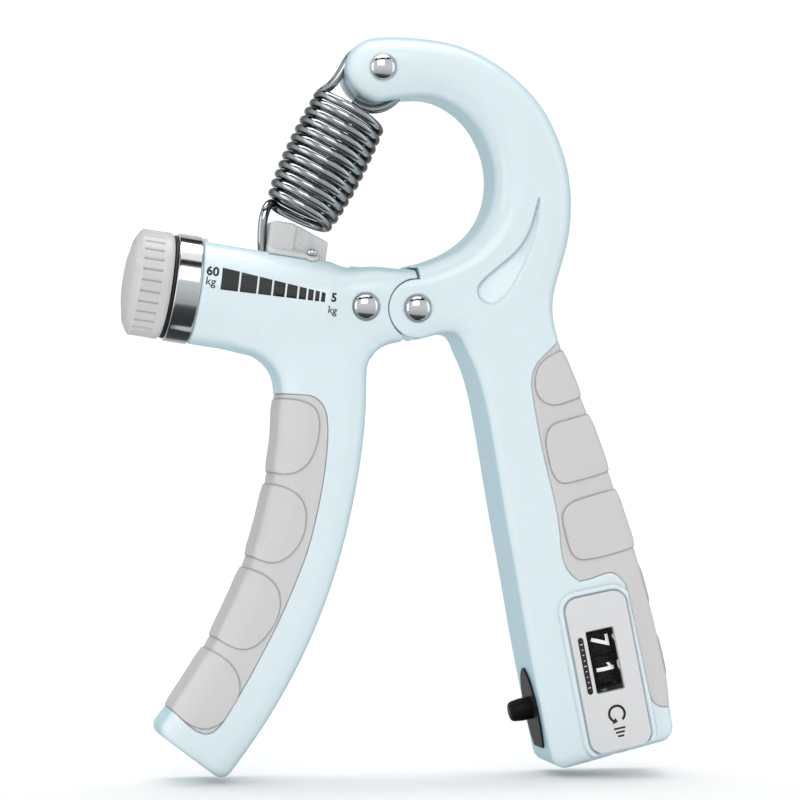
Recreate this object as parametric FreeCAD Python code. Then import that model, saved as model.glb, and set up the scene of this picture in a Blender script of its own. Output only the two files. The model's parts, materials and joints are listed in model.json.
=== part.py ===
import FreeCAD, Part
import math
import os

# Adjustable R-shaped hand gripper: a fixed handle with a hook and a repetition counter, a moving
# handle with a barrel, and a spring from the hook's tip to a carriage that a knob drives.
# Millimetres, +Z up, hinge axis along Y.  The fixed handle is on the +X side, the moving handle
# and the knob are on the -X side, and the counter shows on the -Y face.
# Shapes are written with the hinge axis at x = 0, z = 0.  save() moves them so that the origin
# lies on the ground under the middle of the bounding box.
os.makedirs("parts", exist_ok=True)
Vector = FreeCAD.Vector

# ---------------------------------------------------------------- shared dimensions
HINGE = Vector(2.97, 0.0, 101.81)   # hinge axis in the exported frame
Y_AXIS = Vector(0, 1, 0)
CLEARANCE = 0.05                    # radial play of running fits
FAR = 40.0                          # reach of cutting blocks beyond the handles

HANDLE_HALF = 10.5                  # half thickness of both handles and the hook
EDGE_R = 4.0                        # rounding of the moulded handles
GRIP_PROUD = 0.6                    # the soft grips stand this far out of the handles
GRIP_DEPTH = 2.2                    # depth of the recess the grips sit in
GRIP_SIDE = 1.6                     # the same depth on the two flat faces

TOP_X, TOP_Z = -7.7, 52.0           # spring pin in the hook's tip
EAR_R = 7.0                         # outline of the hook's tip around that pin
KNUCKLE_R = 6.3
KNUCKLE_GAP = 0.2
RIVET_X, RIVET_Z = -11.4, 0.3

PIN_R = 1.9
PIN_HEAD_R = 2.75
PIN_HEAD_H = 1.5
PIN_HEAD_RIM = 0.45                 # straight part of the domed head
FORK_HALF = 1.6                     # half width of the slot in the hook's fork
ROLLER_R = 4.0
ROLLER_HALF = 1.5
TONGUE_HALF = 1.5
TONGUE_END = -13.6


# ---------------------------------------------------------------- general helpers
def save(name, shape):
    """Write the shape's solids, moved to the exported frame."""
    solids = shape.Solids
    moved = (solids[0] if len(solids) == 1 else Part.makeCompound(solids)).copy()
    moved.translate(HINGE)
    moved.exportStep("parts/%s.step" % name)


def point(x, z):
    return Vector(x, 0, z)


def spline_edge(points):
    curve = Part.BSplineCurve()
    curve.interpolate([point(*p) for p in points])
    return curve.toShape()


def line_edge(start, end):
    return Part.makeLine(point(*start), point(*end))


def arc_edge(start, middle, end):
    return Part.Arc(point(*start), point(*middle), point(*end)).toShape()


def closed_spline(points):
    """Closed smooth outline through the points, as a chain of short smooth edges."""
    curve = Part.BSplineCurve()
    curve.interpolate([point(*p) for p in points], PeriodicFlag=True)
    knots = curve.getKnots()
    cuts = knots[0:-1:5] + [knots[-1]]
    edges = []
    for start, end in zip(cuts, cuts[1:]):
        piece = curve.copy()
        piece.segment(start, end)
        edges.append(piece.toShape())
    return edges


def extrude(face, vector):
    """Extrude the face and turn the solid right side out."""
    solid = face.extrude(vector)
    if solid.Volume < 0:
        solid.reverse()
    return solid


def face_of(corners):
    return Part.Face(Part.makePolygon(corners + [corners[0]]))


def extrude_y(face, y0, y1):
    face.translate(Vector(0, y0, 0))
    return extrude(face, Vector(0, y1 - y0, 0))


def prism(edges, y0, y1):
    return extrude_y(Part.Face(Part.Wire(Part.__sortEdges__(edges))), y0, y1)


def polygon_prism(points, y0, y1):
    return extrude_y(face_of([point(*p) for p in points]), y0, y1)


def block(x0, x1, z0, z1, half):
    return polygon_prism([(x0, z0), (x1, z0), (x1, z1), (x0, z1)], -half, half)


def right_block(start, end, depth=30.0):
    """Block on the right-hand side of the line from start to end, seen with x right and z up."""
    dx, dz = end[0] - start[0], end[1] - start[1]
    length = math.hypot(dx, dz)
    nx, nz = dz / length * depth, -dx / length * depth
    return polygon_prism([start, end, (end[0] + nx, end[1] + nz),
                          (start[0] + nx, start[1] + nz)], -FAR, FAR)


def cyl_y(x, z, radius, y0, y1):
    return Part.makeCylinder(radius, y1 - y0, Vector(x, y0, z), Y_AXIS)


def drill_y(x, z, radius):
    """Cutter for a hole right through along Y."""
    return cyl_y(x, z, radius, -20, 20)


def shifted(points, distance):
    """Downward outline moved towards +x by the distance (towards -x if negative)."""
    moved = []
    for i, p in enumerate(points):
        before = points[max(0, i - 1)]
        after = points[min(len(points) - 1, i + 1)]
        dx, dz = after[0] - before[0], after[1] - before[1]
        length = math.hypot(dx, dz)
        moved.append((p[0] - dz / length * distance, p[1] + dx / length * distance))
    return moved


def clean(shape):
    """Merge split faces; the shape stays as it is if merging fails or changes its volume."""
    try:
        merged = shape.copy().removeSplitter()
        if merged.isValid() and abs(merged.Volume - shape.Volume) < 1e-3 * abs(shape.Volume):
            return merged
    except Exception:
        pass
    return shape


def round_edges(shape, radius, pick):
    """Round the picked edges with the largest share of the radius that gives a sound solid."""
    edges = [e for e in shape.Edges if pick(e)]
    length = sum(e.Length for e in edges)
    for share in (1, 0.85, 0.7, 0.55, 0.4, 0.25):
        tried = share * radius
        expected = length * (1 - math.pi / 4) * tried * tried
        # The fillet can fail on tight bends; the next smaller radius is then tried.
        try:
            rounded = shape.makeFillet(tried, edges)
            lost = shape.Volume - rounded.Volume
            if rounded.isValid() and 0.6 * expected < lost < 1.4 * expected:
                return rounded
        except Exception:
            continue
    return shape


def at_faces(half, min_length=0.0):
    """Selector for edges lying in the flat faces y = -half and y = +half."""
    def pick(edge):
        box = edge.BoundBox
        flat = abs(box.YMax - box.YMin) < 1e-4
        return flat and abs(abs(box.YMax) - half) < 1e-4 and edge.Length > min_length
    return pick


def rim_edges(shape, radius, centre=None):
    """Full circles of the given radius, only those around the centre if one is given."""
    return [e for e in shape.Edges if abs(e.Length - 2 * math.pi * radius) < 1e-3
            and (centre is None or (e.CenterOfMass - centre).Length < 0.1)]


def domed_pin(x, z):
    """Pin along Y through a handle, with a low domed head on each face."""
    pin = cyl_y(x, z, PIN_R, -HANDLE_HALF, HANDLE_HALF)
    dome_h = PIN_HEAD_H - PIN_HEAD_RIM
    sphere_r = (PIN_HEAD_R ** 2 + dome_h ** 2) / (2 * dome_h)
    for side in (-1, 1):
        face_y = side * HANDLE_HALF
        y0, y1 = sorted((face_y, face_y + side * PIN_HEAD_H))
        ball = Part.makeSphere(sphere_r, Vector(x, face_y + side * (PIN_HEAD_H - sphere_r), z))
        pin = pin.fuse(cyl_y(x, z, PIN_HEAD_R, y0, y1).common(ball))
    return clean(pin)


def wire_spring(path, radius):
    """Round wire swept along the path edge."""
    start = path.FirstParameter
    section = Part.Circle(path.valueAt(start), path.tangentAt(start), radius)
    solid = Part.Wire([path]).makePipeShell([Part.Wire([section.toShape()])], True, True)
    if solid.Volume < 0:
        solid.reverse()
    return solid


# ---------------------------------------------------------------- counter frame of reference
# u runs down the fixed handle and v towards its outer (+x) edge, from the counter window's centre.
COUNTER_TILT = math.radians(11.2)
COUNTER_X, COUNTER_Z = 41.5, -76.8
DOWN = Vector(math.sin(COUNTER_TILT), 0, -math.cos(COUNTER_TILT))
OUTWARD = Vector(math.cos(COUNTER_TILT), 0, math.sin(COUNTER_TILT))
PLUNGER_U = 7.7                     # plunger axis, down the handle


def counter_xz(u, v):
    at = counter_vec(u, v, 0)
    return (at.x, at.z)


def counter_vec(u, v, y):
    return Vector(COUNTER_X, y, COUNTER_Z) + DOWN * u + OUTWARD * v


def counter_box(u0, u1, v0, v1, y0, y1):
    corners = ((u0, v0), (u1, v0), (u1, v1), (u0, v1))
    return polygon_prism([counter_xz(*c) for c in corners], y0, y1)


def cyl_down(u0, u1, radius, v=0.0, y=0.0):
    return Part.makeCylinder(radius, u1 - u0, counter_vec(u0, v, y), DOWN)


def tube_down(u0, u1, radius, bore, y):
    return cyl_down(u0, u1, radius, 0.0, y).cut(cyl_down(u0 - 1, u1 + 1, bore, 0.0, y))


def cyl_across(v0, v1, radius):
    """Cylinder on the plunger's axis, which runs across the handle."""
    return Part.makeCylinder(radius, v1 - v0, counter_vec(PLUNGER_U, v0, 0), OUTWARD)


def vy_prism(points, u0, u1):
    """Prism down the handle from (v, y) corners."""
    return extrude(face_of([counter_vec(u0, v, y) for v, y in points]), DOWN * (u1 - u0))


def rounded_plate(u0, u1, v0, v1, radius, y0, y1):
    """Rounded rectangle in counter coordinates."""
    corners = []
    for cu, cv, start in ((u1 - radius, v1 - radius, 0), (u0 + radius, v1 - radius, 90),
                          (u0 + radius, v0 + radius, 180), (u1 - radius, v0 + radius, 270)):
        angles = [math.radians(start + k) for k in (0, 45, 90)]
        corners.append([counter_xz(cu + radius * math.cos(a), cv + radius * math.sin(a))
                        for a in angles])
    edges = []
    for i, corner in enumerate(corners):
        edges.append(arc_edge(*corner))
        edges.append(line_edge(corner[2], corners[(i + 1) % 4][0]))
    return prism(edges, y0, y1)


# ---------------------------------------------------------------- barrel frame of reference
# s runs along the barrel axis from x = 0 towards the knob, h is the height above the axis.
BARREL_TILT = math.radians(8.3)     # the barrel rises towards the knob
BARREL_Z0 = -3.04                   # height of the barrel axis at x = 0
BARREL_AXIS = Vector(-math.cos(BARREL_TILT), 0, math.sin(BARREL_TILT))
BARREL_UP = Vector(math.sin(BARREL_TILT), 0, math.cos(BARREL_TILT))


def barrel_vec(s, h, y=0.0):
    return Vector(0, y, BARREL_Z0) + BARREL_AXIS * s + BARREL_UP * h


def barrel_cyl(s0, s1, radius):
    return Part.makeCylinder(radius, s1 - s0, barrel_vec(s0, 0), BARREL_AXIS)


def barrel_tube(s0, s1, radius, bore):
    return barrel_cyl(s0, s1, radius).cut(barrel_cyl(s0 - 1, s1 + 1, bore))


def barrel_box(s0, s1, y0, y1, h0, h1):
    corners = [barrel_vec(s, h, y0) for s, h in ((s0, h0), (s1, h0), (s1, h1), (s0, h1))]
    return face_of(corners).extrude(Vector(0, y1 - y0, 0))


# ---------------------------------------------------------------- fixed handle: outlines (x, z)
def ear_points(*degrees):
    """Points on the round tip of the hook."""
    angles = [math.radians(d) for d in degrees]
    return [(TOP_X + EAR_R * math.cos(a), TOP_Z + EAR_R * math.sin(a)) for a in angles]


# Outer edge from the hook's tip over the bow and down the handle
HOOK_OUTER = [
    (TOP_X, TOP_Z + EAR_R), (2.5, 58.9), (9.0, 57.9), (17.0, 54.7), (24.2, 49.5), (28.9, 44.2),
    (32.4, 37.6), (34.9, 28.9), (35.3, 22.4), (34.4, 14.6), (32.3, 7.4), (30.9, 1.0),
    (31.6, -5.2), (35.2, -15.4), (39.5, -26.2), (44.6, -40.2), (49.3, -54.2), (52.6, -66.0),
    (54.6, -74.0), (56.1, -81.0), (57.0, -89.0)]
# Below the lower end, cut off later
FIXED_END = [(58.4, -97.0), (57.0, -104.0), (50.0, -108.0), (38.0, -108.0), (32.4, -103.5)]
# Inner edge of the handle, downward
FIXED_INNER = [
    (11.0, -8.2), (12.6, -11.6), (14.7, -17.6), (16.5, -26.0), (18.3, -36.4), (20.1, -46.9),
    (21.9, -56.6), (23.6, -66.2), (25.2, -75.0), (26.9, -83.4), (29.6, -96.0)]
# Around the hinge, from under it to above it
FIXED_HINGE = [
    (10.1, -6.4), (8.9, -5.4), (7.0, -5.2), (3.5, -5.9), (-0.5, -7.0), (-8.0, -7.6),
    (-12.6, -4.0), (-14.0, 1.0), (-12.0, 6.5), (-7.0, 9.0)]
# Inner edge of the bow, from the hinge up to the hook's tip
HOOK_INNER = [
    (-1.3, 9.5), (4.5, 11.0), (10.6, 14.1), (14.3, 17.5), (16.7, 21.5), (17.9, 26.4),
    (17.8, 31.2), (16.3, 36.3), (13.5, 40.8), (9.5, 44.2), (4.8, 46.1), (-0.4, 46.2)]
FIXED_OUTLINE = (ear_points(135, 112) + HOOK_OUTER + FIXED_END + FIXED_INNER[::-1] + FIXED_HINGE
                 + HOOK_INNER + ear_points(292, 268, 240, 205, 170))

# Leaf-shaped relief beside the bow
LEAF = [
    (27.06, 24.5), (25.2, 18.6), (20.9, 11.9), (14.9, 6.8), (13.2, 4.4), (13.9, 2.0),
    (16.4, 1.0), (20.9, 4.8), (25.1, 13.0), (26.9, 19.5)]

# Handle edge under the grip, downward
FIXED_GRIP_EDGE = [
    (31.75, -6.0), (33.2, -9.8), (35.2, -15.4), (39.5, -26.2), (44.6, -40.2), (49.3, -54.2),
    (52.6, -66.0), (54.6, -74.0), (56.0, -81.0), (56.6, -85.4)]
# Inner border of the grip: down the side, around the counter's top corner, down its outer side
FIXED_GRIP_SIDE = [
    (31.0, -7.4), (28.6, -9.6), (26.2, -12.4), (25.3, -15.4), (25.6, -19.5), (28.5, -34.2),
    (31.55, -48.9), (33.4, -57.0), (35.9, -59.3)]
FIXED_GRIP_CORNER = [(35.9, -59.3), (39.5, -58.4), (43.4, -57.5), (46.3, -60.0)]
FIXED_GRIP_FOOT = [(51.4, -83.6), (53.2, -86.4), (56.0, -86.9)]

# ---------------------------------------------------------------- fixed handle: counter openings
WHEEL_Y = -4.9                      # depth of the number wheels' axis and the reset knob
COUNTER_SCREW_U = (-11.8, 10.4)
COUNTER_SCREW_R = 0.8
PLUNGER_R = 2.5
PLUNGER_BORE_R = PLUNGER_R + CLEARANCE


def make_fixed_grip():
    half = HANDLE_HALF + GRIP_PROUD
    outer = shifted(FIXED_GRIP_EDGE, GRIP_PROUD)
    edges = [spline_edge(FIXED_GRIP_SIDE), spline_edge(FIXED_GRIP_CORNER),
             line_edge(FIXED_GRIP_CORNER[-1], FIXED_GRIP_FOOT[0]),
             spline_edge(FIXED_GRIP_FOOT + [outer[-1]]),
             spline_edge(outer), line_edge(outer[0], FIXED_GRIP_SIDE[0])]
    full = prism(edges, -half, half)
    # Only the long outer edges are rounded.
    full = round_edges(full, EDGE_R,
                       lambda e: at_faces(half, 60.0)(e) and e.CenterOfMass.x > 43)
    inner = shifted(FIXED_GRIP_EDGE, -GRIP_DEPTH)
    core = polygon_prism([(inner[0][0] - 0.6, inner[0][1] + 6)] + inner
                         + [(inner[-1][0], -96), (0, -96), (0, 0)],
                         -(HANDLE_HALF - GRIP_SIDE), HANDLE_HALF - GRIP_SIDE)
    return clean(full.cut(core))


def make_plunger_plate():
    """Leaf-shaped plate on the handle's inner edge, not yet bored."""
    u0, u1, half = -1.2, 19.0, 6.0
    v0, v1 = -24.0, -8.0
    upper = [(u0, 0), (u0 + 2.0, half * 0.55), (0.5 * (u0 + u1), half),
             (u1 - 2.0, half * 0.55), (u1, 0)]
    lower = [(u, -y) for u, y in upper[::-1]]
    edges = []
    for side in (upper, lower):
        curve = Part.BSplineCurve()
        curve.interpolate([counter_vec(u, v0, y) for u, y in side])
        edges.append(curve.toShape())
    leaf = extrude(Part.Face(Part.Wire(edges)), OUTWARD * (v1 - v0))
    proud = shifted(FIXED_INNER, -0.5)
    sunk = shifted(FIXED_INNER, 1.2)
    band = prism([spline_edge(proud), spline_edge(sunk), line_edge(proud[0], sunk[0]),
                  line_edge(proud[-1], sunk[-1])], -9, 9)
    return band.common(leaf)


def moving_side():
    """Region at the hinge that belongs to the moving handle, bounded by the knuckle circle."""
    x = 0.6
    z = math.sqrt(KNUCKLE_R ** 2 - x ** 2)
    corners = [(x, z), (x, 8.95), (-0.9, 8.95), (-0.9, 20), (-30, 20), (-30, -30), (x, -30),
               (x, -z)]
    edges = [arc_edge((x, -z), (-KNUCKLE_R, 0), (x, z))]
    edges += [line_edge(a, b) for a, b in zip(corners, corners[1:])]
    return prism(edges, -FAR, FAR)


def make_fixed_body(grip, plate):
    body = prism(closed_spline(FIXED_OUTLINE), -HANDLE_HALF, HANDLE_HALF)
    body = round_edges(body, EDGE_R, at_faces(HANDLE_HALF))
    body = body.cut(moving_side())
    body = body.cut(right_block((26.0, -102.05), (64.0, -92.55)))               # lower end
    body = body.cut(cyl_y(TOP_X, TOP_Z, EAR_R + 2.6, -FORK_HALF, FORK_HALF))    # fork slot
    body = body.cut(cyl_y(0, 0, KNUCKLE_R + 0.4, -1.7, 1.7))                    # tongue slot
    body = body.cut(drill_y(TOP_X, TOP_Z, PIN_R))
    body = body.cut(drill_y(0, 0, PIN_R))
    leaf = prism(closed_spline(LEAF), -HANDLE_HALF - 1, -HANDLE_HALF + 1.2)
    body = body.cut(leaf)
    body = body.cut(leaf.mirror(Vector(0, 0, 0), Y_AXIS))
    body = body.cut(grip)
    # counter pocket, stepped plunger bore, stepped reset bore, screw holes
    body = body.cut(counter_box(-13.2, 11.9, -6.3, 6.3, -HANDLE_HALF - 5, 5.1))
    body = body.cut(cyl_across(-24.0, -9.0, PLUNGER_BORE_R))
    body = body.cut(cyl_across(-9.5, -5.0, 1.3))
    body = body.cut(cyl_down(11.0, 14.6, 3.3, 0.0, WHEEL_Y))
    body = body.cut(cyl_down(14.0, 26.0, 3.75, 0.0, WHEEL_Y))
    for u in COUNTER_SCREW_U:
        body = body.cut(cyl_y(*counter_xz(u, 0), COUNTER_SCREW_R, 4.0, 9.0))
    return clean(body.cut(plate))


fixed_grip = make_fixed_grip()
plunger_plate = make_plunger_plate()
save("right_handle_body", make_fixed_body(fixed_grip, plunger_plate))
save("right_grip", fixed_grip)
save("plunger_plate", plunger_plate.cut(cyl_across(-26.0, -5.0, PLUNGER_BORE_R)))

# ---------------------------------------------------------------- pins of the fixed handle
save("spring_top_pin", domed_pin(TOP_X, TOP_Z))
save("pivot_pin", domed_pin(0, 0))
save("spring_roller", cyl_y(TOP_X, TOP_Z, ROLLER_R, -ROLLER_HALF, ROLLER_HALF)
     .cut(drill_y(TOP_X, TOP_Z, PIN_R + CLEARANCE)))


# ---------------------------------------------------------------- counter: plate and window
def window(inset, y0, y1):
    return rounded_plate(-7.3 + inset, 6.6 - inset, -3.2 + inset, 3.2 - inset, 0.6 - inset, y0, y1)


cover = rounded_plate(-15.0, 19.6, -6.8, 7.2, 3.0, -HANDLE_HALF - 1.0, -HANDLE_HALF)
save("counter_plate", clean(cover.cut(window(0, -20, 0))))
save("counter_lens", window(0.05, -HANDLE_HALF - 0.8, -HANDLE_HALF))

# ---------------------------------------------------------------- counter: wheels, frame, shafts
WHEEL_R = 4.5
SHAFT_R = 1.0
SMALL_SHAFT_R = 0.5                 # carry shaft and pawl pin
UNITS_END = 4.6                     # the ratchet starts here
TOOTH_COUNT = 10
FRAME_Y = 3.6                       # the frame's base lies behind this depth
FRAME_WALLS = ((-9.7, -8.4), (7.0, 8.3))
WALL_ENDS = (FRAME_WALLS[0][0], FRAME_WALLS[1][1])
CARRY_Y, CARRY_R = 2.0, 1.9
CARRY_TEETH = 8
PAWL_V, PAWL_Y = -4.6, 1.4
PAWL_U0, PAWL_U1 = 4.7, 5.8


def make_units_wheel():
    """Units wheel with the saw-toothed ratchet on its lower end."""
    ratchet = tube_down(UNITS_END, 5.9, 4.2, SHAFT_R + CLEARANCE, WHEEL_Y)
    for k in range(TOOTH_COUNT):
        start = math.radians(360 / TOOTH_COUNT * k)
        end = start + math.radians(30)
        corners = [(r * math.cos(a), WHEEL_Y + r * math.sin(a))
                   for r, a in ((3.1, start), (4.6, start), (4.6, end), (4.2, end))]
        ratchet = ratchet.cut(vy_prism(corners, 4.55, 6.15))
    wheel = tube_down(-1.2, UNITS_END, WHEEL_R, SHAFT_R + CLEARANCE, WHEEL_Y)
    return clean(wheel.fuse(ratchet))


def make_counter_frame():
    frame = counter_box(-13.0, 11.6, -5.9, 5.9, FRAME_Y, 5.0)
    for u0, u1 in FRAME_WALLS:
        frame = frame.fuse(counter_box(u0, u1, -5.9, 5.9, -9.6, FRAME_Y + 0.2))
    frame = frame.cut(cyl_down(-12, 12, SHAFT_R, 0.0, WHEEL_Y))
    frame = frame.cut(cyl_down(-12, 12, SMALL_SHAFT_R, 0.0, CARRY_Y))
    frame = frame.cut(cyl_down(-3.7, 0.9, CARRY_R + 0.2, 0.0, CARRY_Y))  # room for the pinion
    frame = frame.cut(cyl_down(-12, 12, SMALL_SHAFT_R, PAWL_V, PAWL_Y))
    frame = frame.cut(cyl_across(-8.0, 0.0, 1.6))                        # passage for the stem
    for u in COUNTER_SCREW_U:
        frame = frame.cut(cyl_y(*counter_xz(u, 0), COUNTER_SCREW_R + CLEARANCE, 2.0, 7.0))
    return clean(frame)


def make_carry_pinion():
    pinion = tube_down(-3.4, 0.6, CARRY_R, SMALL_SHAFT_R + CLEARANCE, CARRY_Y)
    for k in range(CARRY_TEETH):
        angle = math.radians(360 / CARRY_TEETH * k)
        pinion = pinion.cut(cyl_down(-4, 2, 0.42, CARRY_R * math.cos(angle),
                                     CARRY_Y + CARRY_R * math.sin(angle)))
    return pinion


def make_pawl():
    arm = [(-5.5, 1.0), (-3.7, 1.6), (-3.3, -0.9), (-4.0, -1.3)]         # (v, y)
    pawl = cyl_down(PAWL_U0, PAWL_U1, 1.3, PAWL_V, PAWL_Y)
    pawl = pawl.fuse(vy_prism(arm, PAWL_U0, PAWL_U1))
    return clean(pawl.cut(cyl_down(4.0, 7.0, SMALL_SHAFT_R + CLEARANCE, PAWL_V, PAWL_Y)))


def make_counter_screw(u):
    x, z = counter_xz(u, 0)
    head_h, slot_w, slot_depth, slot_length = 0.9, 0.5, 0.4, 3.0
    head_y = FRAME_Y - head_h
    screw = cyl_y(x, z, COUNTER_SCREW_R, 2.9, 7.8).fuse(cyl_y(x, z, 1.15, head_y, FRAME_Y))
    screw = screw.cut(Part.makeBox(slot_w, slot_depth, slot_length,
                                   Vector(x - slot_w / 2, head_y, z - slot_length / 2)))
    return clean(screw)


save("tens_wheel", clean(tube_down(-7.4, -1.6, WHEEL_R, SHAFT_R + CLEARANCE, WHEEL_Y)))
save("units_wheel", make_units_wheel())
save("counter_frame", make_counter_frame())
save("counter_shaft", cyl_down(-10.2, 8.9, SHAFT_R, 0.0, WHEEL_Y))
save("carry_shaft", cyl_down(*WALL_ENDS, SMALL_SHAFT_R, 0.0, CARRY_Y))
save("carry_pinion", make_carry_pinion())
save("pawl_pin", cyl_down(*WALL_ENDS, SMALL_SHAFT_R, PAWL_V, PAWL_Y))
save("ratchet_pawl", make_pawl())
save("counter_screws", Part.makeCompound([make_counter_screw(u) for u in COUNTER_SCREW_U]))

# ---------------------------------------------------------------- counter: plunger and reset
PLUNGER_TIP = -20.9                 # v of the pressed end


def make_plunger():
    plunger = cyl_across(PLUNGER_TIP, -13.4, PLUNGER_R)
    tip = counter_vec(PLUNGER_U, PLUNGER_TIP, 0)
    plunger = plunger.makeFillet(1.5, rim_edges(plunger, PLUNGER_R, tip))
    return clean(plunger.fuse(cyl_across(-13.5, -8.3, 1.2)))


def make_plunger_spring():
    coil_r, start_v, length = 1.85, -13.05, 3.6
    turns, steps = 3, 12            # steps per turn
    points = []
    for i in range(turns * steps + 1):
        angle = 2 * math.pi * i / steps
        points.append(counter_vec(PLUNGER_U + coil_r * math.cos(angle),
                                  start_v + length * i / (turns * steps),
                                  coil_r * math.sin(angle)))
    curve = Part.BSplineCurve()
    curve.interpolate(points)
    return wire_spring(curve.toShape(), 0.3)


def make_reset_knob():
    knob = cyl_down(15.2, 20.6, 3.65, 0.0, WHEEL_Y).fuse(cyl_down(10.6, 15.3, 1.4, 0.0, WHEEL_Y))
    slot = counter_box(19.6, 22.0, -4.0, 4.0, WHEEL_Y - 0.5, WHEEL_Y + 0.5)
    return clean(knob.cut(slot))


save("plunger", make_plunger())
save("plunger_spring", make_plunger_spring())
save("reset_knob", make_reset_knob())
save("reset_washer", tube_down(13.3, 14.0, 3.0, 1.4 + CLEARANCE, WHEEL_Y))

# ---------------------------------------------------------------- moving handle: outlines (x, z)
# Upper part of the outer edge, downward from the barrel's knob end
MOVING_SHOULDER = [(-41.2, -5.8), (-38.6, -8.4), (-35.0, -9.7), (-32.4, -11.3), (-30.2, -13.9)]
# Outer edge, downward
MOVING_OUTER = [
    (-29.3, -17.4), (-29.3, -22.0), (-29.6, -28.0), (-30.3, -33.0), (-31.3, -38.5),
    (-33.1, -46.4), (-35.8, -55.0), (-39.4, -63.6), (-43.8, -72.2), (-49.0, -80.6),
    (-55.4, -89.4)]
# Below the lower end, cut off later
MOVING_END = [(-60.5, -96.5), (-61.0, -103.0), (-55.0, -107.5), (-48.0, -107.5)]
# Inner edge, downward
MOVING_INNER = [
    (-10.4, -15.0), (-10.5, -20.5), (-11.1, -28.2), (-12.3, -36.4), (-14.1, -45.2),
    (-16.4, -54.0), (-19.3, -62.8), (-22.9, -71.6), (-27.3, -80.4), (-32.8, -89.6),
    (-40.6, -100.4)]
# Around the hinge and back along the top
MOVING_TOP = [
    (-10.0, -11.8), (-8.4, -9.3), (-5.4, -7.7), (-2.0, -7.1), (2.5, -7.0), (7.0, -4.0),
    (8.0, 1.0), (6.5, 6.0), (2.0, 8.5), (-2.5, 8.75), (-9.5, 9.2), (-16.0, 8.0),
    (-24.0, 5.5), (-32.0, 3.8), (-38.8, 1.6), (-41.8, -1.8)]
MOVING_OUTLINE = MOVING_SHOULDER + MOVING_OUTER + MOVING_END + MOVING_INNER[::-1] + MOVING_TOP

# Inner border of the grip, downward, and its rounded foot
MOVING_GRIP_SIDE = [
    (-28.6, -18.5), (-26.2, -18.7), (-23.6, -18.9), (-21.0, -20.6), (-19.7, -25.4),
    (-19.9, -31.0), (-20.5, -36.2), (-21.9, -43.6), (-23.6, -50.6), (-27.0, -59.8),
    (-31.2, -69.0), (-36.6, -79.2)]
MOVING_GRIP_FOOT = [
    (-36.6, -79.2), (-41.2, -86.8), (-43.2, -89.6), (-45.2, -91.0), (-47.2, -90.8),
    (-50.0, -88.9)]
MOVING_GRIP_EDGE = [(-29.3, -18.1)] + MOVING_OUTER[1:10] + [(-52.6, -85.8)]

# ---------------------------------------------------------------- moving handle and barrel
BARREL_START, BARREL_END = 20.0, 47.8
BARREL_R = 11.6
BORE_START = 16.2
BORE_R = 8.6
SLOT_HALF = 4.9                     # half width of the top slot


def make_moving_grip():
    half = HANDLE_HALF + GRIP_PROUD
    outer = shifted(MOVING_GRIP_EDGE, -GRIP_PROUD)
    edges = [spline_edge(MOVING_GRIP_SIDE), spline_edge(MOVING_GRIP_FOOT),
             line_edge(MOVING_GRIP_FOOT[-1], outer[-1]), spline_edge(outer),
             line_edge(outer[0], MOVING_GRIP_SIDE[0])]
    full = prism(edges, -half, half)
    inner = shifted(MOVING_GRIP_EDGE, GRIP_DEPTH)
    core = polygon_prism([(inner[0][0], inner[0][1] + 6)] + inner
                         + [(inner[-1][0] - 8, inner[-1][1] - 9), (-30, -110), (0, -60), (0, 0)],
                         -(HANDLE_HALF - GRIP_SIDE), HANDLE_HALF - GRIP_SIDE)
    return clean(full.cut(core))


def make_moving_body(grip):
    body = prism(closed_spline(MOVING_OUTLINE), -HANDLE_HALF, HANDLE_HALF)
    body = round_edges(body, EDGE_R, at_faces(HANDLE_HALF))
    body = body.cut(right_block((-60.0, -88.0), (-38.6, -104.1)))               # lower end
    nose = Part.makeCone(BARREL_R, 9.0, 10.0, barrel_vec(BARREL_START, 0), BARREL_AXIS * -1)
    body = body.fuse(barrel_cyl(BARREL_START, BARREL_END, BARREL_R)).fuse(nose)
    # room for the fixed handle's knuckle and the walls beside it
    body = body.cut(cyl_y(0, 0, KNUCKLE_R + KNUCKLE_GAP, -FAR, FAR))
    body = body.cut(block(0.2, 60, -40, 40, FAR))
    body = body.cut(block(-2.75, 1, -12, -5, FAR))
    body = body.cut(block(-3.2, 5, 8.85, 20, FAR))
    body = body.cut(barrel_cyl(BORE_START, 60, BORE_R))
    body = body.cut(barrel_box(14.8, 46.6, -SLOT_HALF, SLOT_HALF, 5.6, 20))
    body = body.cut(block(TONGUE_END - 0.1, -3, -4.9, 4.9, TONGUE_HALF + CLEARANCE))
    body = body.cut(drill_y(RIVET_X, RIVET_Z, PIN_R))
    return clean(body.cut(grip))


def make_hinge_tongue():
    tongue = cyl_y(0, 0, 5.6, -TONGUE_HALF, TONGUE_HALF)
    tongue = tongue.fuse(block(TONGUE_END, 0, -4.6, 4.6, TONGUE_HALF))
    tongue = tongue.cut(drill_y(0, 0, PIN_R + CLEARANCE)).cut(drill_y(RIVET_X, RIVET_Z, PIN_R))
    return clean(tongue)


moving_grip = make_moving_grip()
save("left_handle_body", make_moving_body(moving_grip))
save("left_grip", moving_grip)
save("hinge_tongue", make_hinge_tongue())
save("barrel_rivet", domed_pin(RIVET_X, RIVET_Z))

# ---------------------------------------------------------------- barrel end and tension marks
RING_R = 11.75
RING_END = 53.2
SEAL_END = 53.8
SCREW_R = 2.0
BUSH_START, BUSH_END = 47.65, 50.0

MARKS_START = 43.6                  # s of the widest mark's knob-side edge
MARK_GAP = 0.4
MARK_H = 2.2                        # height of the marks' middle above the barrel axis
MARK_PROUD = 0.06
# (width along the barrel, height), from the knob end towards the hinge
MARKS = [(3.7, 4.7), (3.3, 4.3), (2.8, 3.9), (2.5, 3.6), (2.2, 3.2), (1.6, 2.9), (1.2, 2.6),
         (0.9, 2.3), (0.8, 2.0)]


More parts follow.
